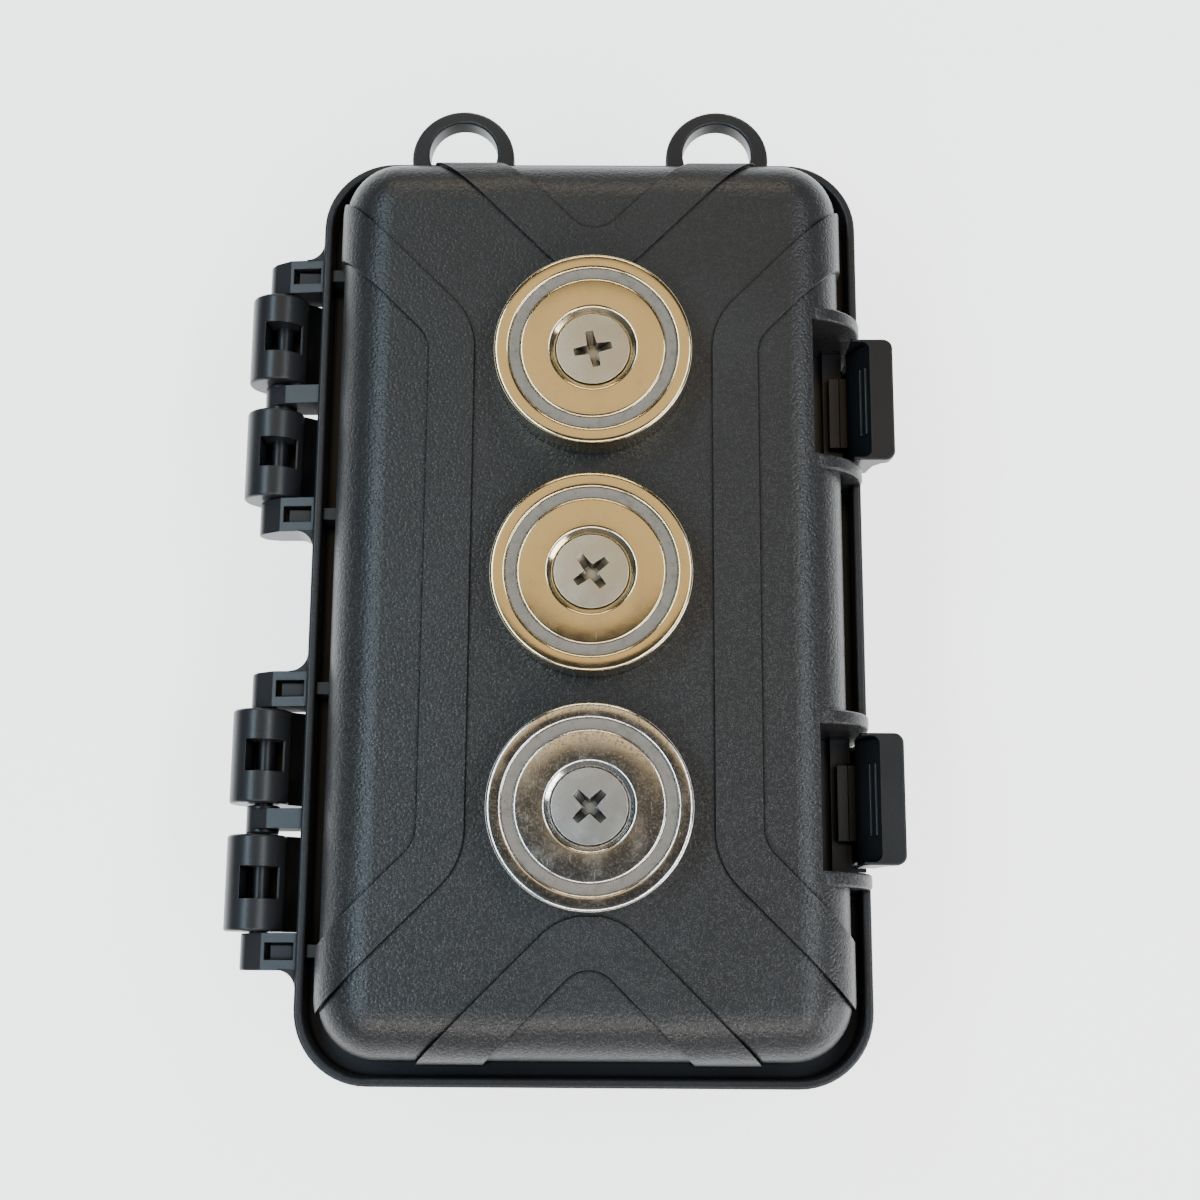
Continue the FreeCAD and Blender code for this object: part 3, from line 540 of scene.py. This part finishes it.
@dataclass(frozen=True)
class SealRubber:
    """Matt black rubber with a fine bloom."""

    name: str
    colour: Colour = (0.012, 0.012, 0.012)
    bloom: Colour = (0.055, 0.055, 0.057)
    patch: float = 0.004
    grit: float = 0.00025
    depth: float = 0.00002

    def make(self) -> bpy.types.Material:
        """Build the material.

        Returns:
            The material.
        """
        graph = SurfaceGraph(self.name)
        place = graph.place()
        bloom = graph.noise(place, self.patch, 4.0, 0.6).step(0.42, 0.75)
        fine = graph.noise(place, self.grit, 2.0)
        colour = graph.mixed(bloom * 0.5, self.colour, self.bloom)
        normal = graph.bumped(fine, self.depth)
        return graph.dress(Base_Color=colour, Roughness=0.62 + fine * 0.18, Normal=normal)


@dataclass(frozen=True)
class BlackenedSteel:
    """Drawn steel pin, blackened, rubbed bright at its ends."""

    name: str
    colour: Colour = (0.030, 0.030, 0.033)
    bright: Colour = (0.22, 0.22, 0.22)
    line: float = 0.00016
    rub: float = 0.0003
    depth: float = 0.000008

    def make(self) -> bpy.types.Material:
        """Build the material.

        Returns:
            The material.
        """
        graph = SurfaceGraph(self.name)
        place = graph.place()
        drawn = graph.noise(graph.stretched(place, (1.0, 0.05, 1.0)), self.line, 3.0, 0.6)
        rubbed = graph.wear(self.rub)
        colour = graph.mixed(rubbed * 0.7 + drawn.step(0.60, 0.80) * 0.18, self.colour, self.bright)
        normal = graph.bumped(drawn, self.depth)
        return graph.dress(
            Base_Color=colour, Metallic=0.75, Roughness=0.30 + drawn * 0.16, Normal=normal
        )


@dataclass(frozen=True)
class PaleFloor:
    """Plain white paper lit from behind, as on a light table."""

    name: str = "studio_paper"
    colour: Colour = (0.90, 0.90, 0.90)
    fibres: Colour = (0.84, 0.84, 0.84)
    glow: Colour = (1.0, 1.0, 1.0)
    far_glow: Colour = (0.30, 0.30, 0.31)
    glow_strength: float = 2.0
    lit_half: Span = (0.122, 0.120)
    lit_middle: Point = (0.008, 0.011)
    fade: float = 0.045
    fibre: float = 0.0009
    depth: float = 0.00002

    def make(self) -> bpy.types.Material:
        """Build the material.

        Returns:
            The material.
        """
        graph = SurfaceGraph(self.name)
        place = graph.place()
        fibre = graph.noise(place, self.fibre, 3.0)
        colour = graph.mixed(fibre * 0.04, self.colour, self.fibres)
        across = abs(graph.part("X", place) - self.lit_middle[0]) - self.lit_half[0]
        along = abs(graph.part("Y", place) - self.lit_middle[1]) - self.lit_half[1]
        beyond = across.larger(along).step(0.0, self.fade)
        return graph.dress(
            Base_Color=colour, Roughness=0.85, Normal=graph.bumped(fibre, self.depth),
            Emission_Color=graph.mixed(beyond, self.glow, self.far_glow),
            Emission_Strength=self.glow_strength,
        )


Finish = MouldedPlastic | Plated | PottingResin | SealRubber | BlackenedSteel


# ------------------------------------------------------------------ mesh work


class Corner(Enum):
    """How a corner of a turned outline is finished."""

    SHARP = 0
    EASED = 3
    ROUND = 6


@dataclass(frozen=True)
class Turn:
    """One corner of a turned outline, in millimetres."""

    radius: float
    height: float
    ease: float = 0.0
    corner: Corner = Corner.SHARP


def rounded_outline(turns: Sequence[Turn]) -> list[Point]:
    """Round the corners of a closed outline with arcs.

    Args:
        turns: the outline's corners in order.

    Returns:
        The outline's points, in millimetres.
    """
    points: list[Point] = []
    for index, turn in enumerate(turns):
        here = Vector((turn.radius, turn.height))
        if turn.corner is Corner.SHARP or turn.ease <= 0:
            points.append((here.x, here.y))
            continue
        last, following = turns[index - 1], turns[(index + 1) % len(turns)]
        before = Vector((last.radius, last.height)) - here
        after = Vector((following.radius, following.height)) - here
        half = before.angle(after) / 2
        reach = min(
            turn.ease / math.tan(half), before.length * LONGEST_EASE, after.length * LONGEST_EASE
        )
        start = here + before.normalized() * reach
        end = here + after.normalized() * reach
        for step in range(turn.corner.value + 1):
            share = step / turn.corner.value
            bent = start.lerp(here, share).lerp(here.lerp(end, share), share)
            points.append((bent.x, bent.y))
    return points


def mesh_from(name: str, work: bmesh.types.BMesh) -> bpy.types.Mesh:
    """Turn finished mesh work into a mesh.

    Args:
        name: the mesh's name.
        work: the mesh work, which is freed.

    Returns:
        The mesh.
    """
    mesh = bpy.data.meshes.new(name)
    work.to_mesh(mesh)
    work.free()
    return mesh


def finished_object(
    name: str, mesh: bpy.types.Mesh, smooth_angle: float = TURNED_CREASE
) -> bpy.types.Object:
    """Turn a mesh into a linked object with smooth faces and sharp creases.

    Args:
        name: the object's name.
        mesh: its mesh.
        smooth_angle: creases above this angle, in degrees, stay sharp.

    Returns:
        The object.
    """
    for polygon in mesh.polygons:
        polygon.use_smooth = True
    mesh.set_sharp_from_angle(angle=math.radians(smooth_angle))
    made = bpy.data.objects.new(name, mesh)
    bpy.context.scene.collection.objects.link(made)
    return made


def turned_piece(name: str, turns: Sequence[Turn], steps: int = 96) -> bpy.types.Object:
    """Turn a closed outline about Z.

    Args:
        name: the piece's name.
        turns: the outline's corners; a radius of 0 lies on the axis.
        steps: how many facets go round.

    Returns:
        The turned piece, its axis at the origin.
    """
    outline = rounded_outline(turns)
    work = bmesh.new()
    rings: list[list[bmesh.types.BMVert]] = []
    for radius, height in outline:
        if radius < ON_AXIS:
            rings.append([work.verts.new((0, 0, height * MM))] * steps)
            continue
        rings.append([
            work.verts.new((
                radius * MM * math.cos(2 * math.pi * step / steps),
                radius * MM * math.sin(2 * math.pi * step / steps),
                height * MM,
            ))
            for step in range(steps)
        ])
    for index, ring in enumerate(rings):
        following = rings[(index + 1) % len(rings)]
        for step in range(steps):
            corners = (
                ring[step], ring[(step + 1) % steps],
                following[(step + 1) % steps], following[step],
            )
            unique = list(dict.fromkeys(corners))
            if len(unique) >= 3:
                work.faces.new(unique)
    bmesh.ops.recalc_face_normals(work, faces=work.faces)
    return finished_object(name, mesh_from(name, work))


def carve(piece: bpy.types.Object, cutter: bpy.types.Object) -> None:
    """Cut one piece with another and remove the cutter.

    Args:
        piece: the piece that is cut.
        cutter: the closed mesh that is taken away.
    """
    boolean = piece.modifiers.new("carve", "BOOLEAN")
    boolean.operation = "DIFFERENCE"
    boolean.solver = "EXACT"
    boolean.object = cutter
    cutter.hide_render = True
    graph = bpy.context.evaluated_depsgraph_get()
    carved = bpy.data.meshes.new_from_object(piece.evaluated_get(graph))
    piece.modifiers.clear()
    old = piece.data
    piece.data = carved
    bpy.data.meshes.remove(old)
    used = cutter.data
    bpy.data.objects.remove(cutter)
    bpy.data.meshes.remove(used)
    for polygon in carved.polygons:
        polygon.use_smooth = True
    carved.set_sharp_from_angle(angle=math.radians(CARVED_CREASE))


def wear_material(piece: bpy.types.Object, material: bpy.types.Material) -> None:
    """Give a piece one material."""
    piece.data.materials.clear()
    piece.data.materials.append(material)


# ------------------------------------------------------------------ the object


@dataclass
class Workshop:
    """The loaded frame and every finish, shared by the sub-assemblies."""

    frame: dict[str, Any]
    finishes: dict[str, bpy.types.Material] = field(default_factory=dict)
    made: int = 0

    def finish(self, finish: Finish) -> bpy.types.Material:
        """Return a finish's material, built the first time it is asked for.

        Args:
            finish: the finish.

        Returns:
            Its material.
        """
        if finish.name not in self.finishes:
            self.finishes[finish.name] = finish.make()
        return self.finishes[finish.name]

    def dress_node(self, node: str, finish: Finish) -> None:
        """Give a solid of the frame its finish.

        Args:
            node: the solid's name.
            finish: the finish it wears.
        """
        wear_material(self.frame["nodes"][node], self.finish(finish))
        LOG.info("dressed %s with %s", node, finish.name)

    def stand_in(
        self, piece: bpy.types.Object, node: str, body: str, slot: str, finish: Finish
    ) -> None:
        """Let a built piece take the place of a solid.

        Args:
            piece: the built piece.
            node: the solid that it replaces.
            body: the body that it moves with.
            slot: the record's material slot; not used.
            finish: the finish it wears.
        """
        wear_material(piece, self.finish(finish))
        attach(piece, body)
        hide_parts(node)
        self.made += 1
        LOG.info("built %s in place of %s", piece.name, node)


@dataclass
class CaseShells:
    """The two moulded shells, their latches and the pins that join them."""

    workshop: Workshop
    base: MouldedPlastic = MouldedPlastic("base_moulding", grain_to=0.0222)
    lid: MouldedPlastic = MouldedPlastic("lid_moulding", grain_from=0.0375)
    latch: MouldedPlastic = MouldedPlastic(
        "latch_moulding", smooth=(0.0080, 0.0085, 0.0100), grain_from=1.0
    )
    pin: BlackenedSteel = BlackenedSteel("blackened_pin")

    def dress(self) -> None:
        """Give each shell, latch and pin its finish."""
        self.workshop.dress_node("base_shell", self.base)
        self.workshop.dress_node("lid_shell", self.lid)
        for place in ("upper", "lower"):
            self.workshop.dress_node("latch_" + place, self.latch)
            self.workshop.dress_node("latch_pin_" + place, self.pin)
            self.workshop.dress_node("hinge_pin_" + place, self.pin)


class Tone(Enum):
    """The colours that nickel and zinc plating take on; the golden nickel tone adds a painted warm
    reflection to the plating's own colour.
    """

    # Golden tint: painted warm reflection on nickel, given to magnets 1 and 2.
    NICKEL_WITH_PAINTED_WARM_REFLECTION = (0.74, 0.615, 0.385)
    PALE_NICKEL = (0.80, 0.77, 0.72)
    TARNISHED_NICKEL = (0.20, 0.155, 0.105)
    WARM_ZINC = (0.60, 0.53, 0.42)
    GREY_ZINC = (0.46, 0.445, 0.42)
    BRIGHT_ZINC = (0.60, 0.59, 0.56)
    DULL_ZINC = (0.17, 0.16, 0.15)
    STAINED_ZINC = (0.22, 0.20, 0.17)


@dataclass
class PotMagnet:
    """One pot magnet on the lid: cup, ring magnet, resin, screw, washer and nut.

    Sizes are in millimetres, with height above the lid's face. Angles are in degrees.
    """

    workshop: Workshop
    number: int
    drive_turn: float
    tarnished: float
    plate: Tone
    zinc: Tone
    height: float = 6.5
    cup_radius: float = 16.0
    cup_bore: float = 13.4
    disc_radius: float = 11.8
    sink: float = 7.0
    bore: float = 3.3
    floor: float = 2.2
    resin_drop: float = 0.30
    resin_sag: float = 0.20
    resin_dip: Span = (-0.3, 0.4)
    head: float = 5.9
    head_drop: float = 0.7
    head_depth: float = 3.25
    head_edge: float = 0.22
    tip: float = 2.3
    tip_drop: float = 16.3
    lead_in: float = 0.6
    shank: float = 2.93
    thread_root: float = 2.45
    thread_length: float = 11.4
    pitch: float = 1.0
    crest: Span = (0.42, 0.58)
    wing_top: float = 3.584
    wing_half_top: float = 0.66
    wing_root: float = 1.25
    wing_half_root: float = 0.38
    drive_depth: float = 2.3
    drive_over: float = 0.6
    washer_radius: float = 9.0
    nut_hole: float = 3.05
    nut_mouth: float = 3.4
    nut_chamfer: float = 4.9
    nut_corner: float = 5.75
    nut_corner_drop: float = 0.55
    nut_mouth_drop: float = 0.3
    nut_flat: float = 5.0
    nut_crease: float = 24.0
    magnet_steps: int = 128
    screw_steps: int = 96
    washer_steps: int = 72

    def nickel(self, title: str, roughness: float) -> Plated:
        """Return the plating of one piece of this magnet."""
        return Plated(
            "%s_%d" % (title, self.number), self.plate.value, Tone.TARNISHED_NICKEL.value,
            roughness, marks=self.tarnished, turned=0.12,
        )

    def centre(self) -> Vector:
        """Return the middle of the magnet's seat on the lid."""
        low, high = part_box("magnet_cup_%d" % self.number)
        return Vector(((low[0] + high[0]) / 2, (low[1] + high[1]) / 2, low[2]))

    def seat(self, piece: bpy.types.Object, node: str, slot: str, finish: Finish) -> None:
        """Put a piece on the magnet's axis and let it replace its solid."""
        piece.location = self.centre()
        self.workshop.stand_in(piece, node, "lid", slot, finish)

    def build_cup(self) -> None:
        """Build the pressed steel cup with its rolled rim."""
        top = self.height
        cup = turned_piece("cup_%d" % self.number, [
            Turn(self.bore, 0.0),
            Turn(self.cup_radius, 0.0, 0.5, Corner.EASED),
            Turn(self.cup_radius, top, 0.75, Corner.ROUND),
            Turn(self.cup_bore, top, 0.60, Corner.ROUND),
            Turn(self.cup_bore, self.floor, 0.3, Corner.EASED),
            Turn(self.bore, self.floor),
        ], self.magnet_steps)
        self.seat(
            cup, "magnet_cup_%d" % self.number, "cup_nickel",
            self.nickel("cup_plating", 0.10),
        )

    def build_disc(self) -> None:
        """Build the ring magnet with its countersink."""
        top = self.height
        disc = turned_piece("disc_%d" % self.number, [
            Turn(self.bore, self.floor),
            Turn(self.disc_radius, self.floor),
            Turn(self.disc_radius, top, 0.55, Corner.ROUND),
            Turn(self.sink, top, 0.70, Corner.ROUND),
            Turn(self.bore, top - (self.sink - self.bore)),
        ], self.magnet_steps)
        self.seat(
            disc, "magnet_ring_%d" % self.number, "magnet_nickel",
            self.nickel("disc_plating", 0.12),
        )

    def build_resin(self) -> None:
        """Build the cast ring between cup and magnet, drawn down in the middle."""
        top = self.height - self.resin_drop
        middle = (self.cup_bore + self.disc_radius) / 2
        ring = turned_piece("resin_%d" % self.number, [
            Turn(self.disc_radius, self.floor),
            Turn(self.cup_bore, self.floor),
            Turn(self.cup_bore, top),
            Turn(middle + self.resin_dip[1], top - self.resin_sag * 0.8),
            Turn(middle + self.resin_dip[0], top - self.resin_sag),
            Turn(self.disc_radius, top),
        ], self.magnet_steps)
        self.seat(
            ring, "magnet_filler_%d" % self.number, "filler_resin", PottingResin("potting_resin")
        )

    def drive_cutter(self, top: float) -> bpy.types.Object:
        """Build the cutter of a cross drive: four tapered wings joined in the middle.

        Args:
            top: the height of the screw's face, in millimetres.

        Returns:
            The cutter.
        """
        work = bmesh.new()
        levels = []
        for height, reach, half in (
            (top + self.drive_over, self.wing_top, self.wing_half_top),
            (top - self.drive_depth, self.wing_root, self.wing_half_root),
        ):
            web = half * 4 / 3
            level = []
            for quarter in range(4):
                turn = math.radians(90 * quarter)
                for along, aside in ((reach, -half), (reach, half), (web, web)):
                    level.append(work.verts.new((
                        (along * math.cos(turn) - aside * math.sin(turn)) * MM,
                        (along * math.sin(turn) + aside * math.cos(turn)) * MM,
                        height * MM,
                    )))
            levels.append(level)
        upper, lower = levels
        work.faces.new(upper)
        work.faces.new(list(reversed(lower)))
        for index, corner in enumerate(upper):
            following = (index + 1) % len(upper)
            work.faces.new((corner, upper[following], lower[following], lower[index]))
        bmesh.ops.recalc_face_normals(work, faces=work.faces)
        cutter = bpy.data.objects.new("drive_cutter", mesh_from("drive_cutter", work))
        bpy.context.scene.collection.objects.link(cutter)
        return cutter

    def build_screw(self) -> None:
        """Build the countersunk screw with its cross drive."""
        face = self.height - self.head_drop
        tip = self.height - self.tip_drop
        thread: list[Turn] = []
        for turn in range(int(self.thread_length / self.pitch)):
            low = tip + self.lead_in + turn * self.pitch
            thread += [
                Turn(self.thread_root, low),
                Turn(self.shank, low + self.pitch * self.crest[0]),
                Turn(self.shank, low + self.pitch * self.crest[1]),
            ]
        screw = turned_piece("screw_%d" % self.number, [
            Turn(0.0, tip), Turn(self.tip, tip, 0.2, Corner.EASED), *thread,
            Turn(self.shank, face - self.head_depth),
            Turn(self.head, face - self.head_edge, 0.12, Corner.EASED),
            Turn(self.head, face, 0.16, Corner.ROUND),
            Turn(0.0, face),
        ], self.screw_steps)
        carve(screw, self.drive_cutter(face))
        screw.rotation_euler = (0.0, 0.0, math.radians(self.drive_turn))
        # The screw's cross drive gets painted shade in its recess.
        finish = Plated(
            "screw_plating_%d" % self.number, self.zinc.value, Tone.DULL_ZINC.value, 0.28,
            marks=0.35 + self.tarnished * 0.4, turned=0.5, recess_shade=0.7,
        )
        self.seat(screw, "magnet_screw_%d" % self.number, "screw_zinc", finish)

    def cut_flats(self, nut: bpy.types.Object) -> None:
        """Press a turned nut's round side in to six flats.

        Args:
            nut: the nut as it was turned.
        """
        work = bmesh.new()
        work.from_mesh(nut.data)
        for vertex in work.verts:
            radius = vertex.co.to_2d().length
            angle = math.atan2(vertex.co.y, vertex.co.x)
            folded = (angle + math.pi / 6) % (math.pi / 3) - math.pi / 6
            flat = self.nut_flat * MM / math.cos(math.pi / 6 - abs(folded))
            if radius > flat:
                vertex.co.x *= flat / radius
                vertex.co.y *= flat / radius
        work.to_mesh(nut.data)
        work.free()
        nut.data.set_sharp_from_angle(angle=math.radians(self.nut_crease))

    def build_back(self) -> None:
        """Build the washer and the chamfered nut inside the lid."""
        low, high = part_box("magnet_washer_%d" % self.number)
        seat = self.centre().z
        bottom = (low[2] - seat) / MM
        top = (high[2] - seat) / MM
        washer = turned_piece("washer_%d" % self.number, [
            Turn(self.bore, bottom, 0.1, Corner.EASED),
            Turn(self.washer_radius, bottom, 0.3, Corner.EASED),
            Turn(self.washer_radius, top, 0.12, Corner.EASED),
            Turn(self.bore, top),
        ], self.washer_steps)
        plating = Plated(
            "nut_plating", Tone.BRIGHT_ZINC.value, Tone.STAINED_ZINC.value, 0.26,
            marks=0.3, turned=0.3,
        )
        self.seat(washer, "magnet_washer_%d" % self.number, "screw_zinc", plating)
        low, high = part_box("magnet_nut_%d" % self.number)
        bottom = (low[2] - seat) / MM
        top = (high[2] - seat) / MM
        nut = turned_piece("nut_%d" % self.number, [
            Turn(self.nut_hole, bottom + self.nut_mouth_drop),
            Turn(self.nut_mouth, bottom), Turn(self.nut_chamfer, bottom),
            Turn(self.nut_corner, bottom + self.nut_corner_drop),
            Turn(self.nut_corner, top - self.nut_corner_drop),
            Turn(self.nut_chamfer, top), Turn(self.nut_mouth, top),
            Turn(self.nut_hole, top - self.nut_mouth_drop),
        ], self.screw_steps)
        self.cut_flats(nut)
        self.seat(nut, "magnet_nut_%d" % self.number, "screw_zinc", plating)

    def build(self) -> None:
        """Build every piece of the magnet."""
        self.build_cup()
        self.build_disc()
        self.build_resin()
        self.build_screw()
        self.build_back()


@dataclass
class LippedSeal:
    """The rubber seal in the base's groove: a flat foot with a rounded bead on top.

    Sizes are in millimetres and the crease angle is in degrees.
    """

    workshop: Workshop
    corner: float = 7.6
    width: float = 1.8
    foot_share: float = 0.45
    bead_share: float = 0.78
    crease: float = 40.0
    arc_steps: int = 12
    bead_steps: int = 10

    def path(self) -> list[tuple[Vector, Vector]]:
        """Follow the middle line of the seal.

        Returns:
            Its points, each with its outward direction.
        """
        low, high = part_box("lid_seal")
        half = self.width * MM / 2
        left, right = low[0] + half, high[0] - half
        front, back = low[1] + half, high[1] - half
        radius = self.corner * MM
        points = []
        corners = (
            (right - radius, back - radius, 0), (left + radius, back - radius, 90),
            (left + radius, front + radius, 180), (right - radius, front + radius, 270),
        )
        for x, y, start in corners:
            for step in range(self.arc_steps + 1):
                angle = math.radians(start + 90 * step / self.arc_steps)
                out = Vector((math.cos(angle), math.sin(angle), 0))
                points.append((Vector((x, y, 0)) + out * radius, out))
        return points

    def section(self, low: float, high: float) -> list[Point]:
        """Draw the seal's section.

        Args:
            low: the height of its underside, in metres.
            high: the height of its bead, in metres.

        Returns:
            The section's corners as outward distances and heights, in metres.
        """
        half = self.width * MM / 2
        foot = low + (high - low) * self.foot_share
        bead = [
            (half * self.bead_share * math.cos(angle), foot + (high - foot) * math.sin(angle))
            for angle in (math.pi * step / self.bead_steps for step in range(self.bead_steps + 1))
        ]
        return [(half, low), (half, foot), *bead, (-half, foot), (-half, low)]

    def build(self) -> None:
        """Build the closed ring."""
        low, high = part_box("lid_seal")
        section = self.section(low[2], high[2])
        work = bmesh.new()
        loops = []
        for point, out in self.path():
            loops.append([
                work.verts.new(point + out * across + Vector((0, 0, height)))
                for across, height in section
            ])
        for index, loop in enumerate(loops):
            following = loops[(index + 1) % len(loops)]
            for step in range(len(section)):
                after = (step + 1) % len(section)
                work.faces.new((loop[step], loop[after], following[after], following[step]))
        bmesh.ops.recalc_face_normals(work, faces=work.faces)
        seal = finished_object("seal_bead", mesh_from("seal_bead", work), self.crease)
        self.workshop.stand_in(seal, "lid_seal", "base", "seal_rubber", SealRubber("seal_rubber"))


# ------------------------------------------------------------------ studio


@dataclass(frozen=True)
class Softbox:
    """One soft area light that looks at the box."""

    name: str
    place: Triple
    size: Span
    power: float
    colour: Colour
    aim: Triple = (0.0, 0.0, 0.03)

    def hang(self) -> None:
        """Add the light to the scene."""
        light = bpy.data.lights.new(self.name, "AREA")
        light.shape = "RECTANGLE"
        light.size, light.size_y = self.size
        light.energy = self.power
        light.color = self.colour
        made = bpy.data.objects.new(self.name, light)
        made.location = self.place
        direction = Vector(self.aim) - Vector(self.place)
        made.rotation_euler = direction.to_track_quat("-Z", "Y").to_euler()
        bpy.context.scene.collection.objects.link(made)


@dataclass
class Studio:
    """The floor, the lights and the camera, in metres, with lens and sensor in millimetres.

    Each Span gives the two values of a direction's tilt or coordinate between which a colour
    comes in.
    """

    lens: float = 54.347
    sensor: float = 36.0
    nearest: float = 0.01
    place: Triple = (0.007913, -0.068149, 0.330203)
    turn_degrees: Triple = (12.214, 0.3163, 0.3549)
    zenith: Colour = (0.038, 0.036, 0.036)
    card: Colour = (1.05, 0.81, 0.47)
    card_near: Span = (0.158, 0.180)
    card_far: Span = (0.50, 0.42)
    card_side: Span = (0.60, 0.30)
    walls: Colour = (0.060, 0.064, 0.074)
    walls_up: Span = (0.86, 0.30)
    near_sky: Colour = (0.125, 0.130, 0.145)
    near_tilt: Span = (0.03, -0.30)
    front: Colour = (0.170, 0.180, 0.205)
    front_north: Span = (-0.40, -0.85)
    back: Colour = (0.050, 0.046, 0.034)
    back_north: Span = (0.42, 0.70)
    floor_half: float = 1.6
    floor_cells: int = 8
    floor_drop: float = 0.0002
    lights: tuple[Softbox, ...] = (
        Softbox("left_window", (-0.58, 0.0, 1.10), (1.5, 0.22), 13.0, (0.62, 0.84, 1.0)),
        Softbox("right_window", (0.62, -0.10, 1.05), (1.3, 0.26), 9.0, (0.86, 0.93, 1.0)),
        Softbox("low_right_card", (1.15, -0.55, 0.26), (0.9, 0.3), 8.0, (0.95, 0.97, 1.0)),
        Softbox("front_card", (0.10, -0.85, 0.80), (1.2, 0.25), 8.0, (1.0, 0.92, 0.84)),
        Softbox("back_card", (0.0, 1.10, 0.80), (0.8, 0.25), 5.0, (1.0, 0.86, 0.66)),
    )

    def lay_floor(self) -> None:
        """Lay the pale floor under the box."""
        work = bmesh.new()
        bmesh.ops.create_grid(
            work, x_segments=self.floor_cells, y_segments=self.floor_cells, size=self.floor_half
        )
        floor = finished_object("floor", mesh_from("floor", work))
        floor.location.z = -self.floor_drop
        wear_material(floor, PaleFloor().make())

    def light(self) -> None:
        """Hang the lights and set the surroundings: dark overhead, one warm card, grey walls."""
        world = bpy.data.worlds.new("surroundings")
        world.use_nodes = True
        graph = Graph(world.node_tree)
        direction = graph.node("ShaderNodeTexCoord", output="Generated")
        east, north, up = (graph.part(axis, direction) for axis in "XYZ")
        tilt = graph.node(
            "ShaderNodeMath", {"operation": "ARCTAN2"}, {0: north, 1: up}
        )
        card = (
            tilt.step(*self.card_near) * tilt.step(*self.card_far)
            * abs(east).step(*self.card_side) * up.step(0.0, 0.1)
        )
        colour = graph.mixed(up.step(*self.walls_up), self.zenith, self.walls)
        colour = graph.mixed(tilt.step(*self.near_tilt), colour, self.near_sky)
        colour = graph.mixed(north.step(*self.back_north), colour, self.back)
        colour = graph.mixed(north.step(*self.front_north), colour, self.front)
        colour = graph.mixed(card, colour, self.card)
        background = graph.tree.nodes.new("ShaderNodeBackground")
        output = graph.tree.nodes.new("ShaderNodeOutputWorld")
        graph.feed(background.inputs["Color"], colour)
        graph.tree.links.new(background.outputs[0], output.inputs["Surface"])
        bpy.context.scene.world = world
        for softbox in self.lights:
            softbox.hang()

    def aim_camera(self) -> None:
        """Set up the camera above the box."""
        data = bpy.data.cameras.new("camera")
        data.lens = self.lens
        data.sensor_width = self.sensor
        data.clip_start = self.nearest
        camera = bpy.data.objects.new("camera", data)
        camera.location = self.place
        camera.rotation_euler = tuple(math.radians(angle) for angle in self.turn_degrees)
        bpy.context.scene.collection.objects.link(camera)
        bpy.context.scene.camera = camera

    def set_up(self) -> None:
        """Make the whole studio."""
        self.lay_floor()
        self.light()
        self.aim_camera()


def main() -> None:
    """Dress the frame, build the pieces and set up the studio."""
    logging.basicConfig(level=logging.INFO, format="%(name)s: %(message)s")
    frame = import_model()
    workshop = Workshop(frame)
    Studio().set_up()
    CaseShells(workshop).dress()
    LippedSeal(workshop).build()
    for magnet in (
        # Magnets 1 and 2 carry a painted warm reflection in their plating colour; magnet 3 has the
        # pale nickel without it.
        PotMagnet(workshop, 1, 12.0, 0.15, Tone.NICKEL_WITH_PAINTED_WARM_REFLECTION, Tone.WARM_ZINC),
        PotMagnet(workshop, 2, 37.0, 0.20, Tone.NICKEL_WITH_PAINTED_WARM_REFLECTION, Tone.WARM_ZINC),
        PotMagnet(workshop, 3, 45.0, 0.90, Tone.PALE_NICKEL, Tone.GREY_ZINC),
    ):
        magnet.build()
    LOG.info("%d built pieces", workshop.made)


if __name__ == "__main__":
    main()
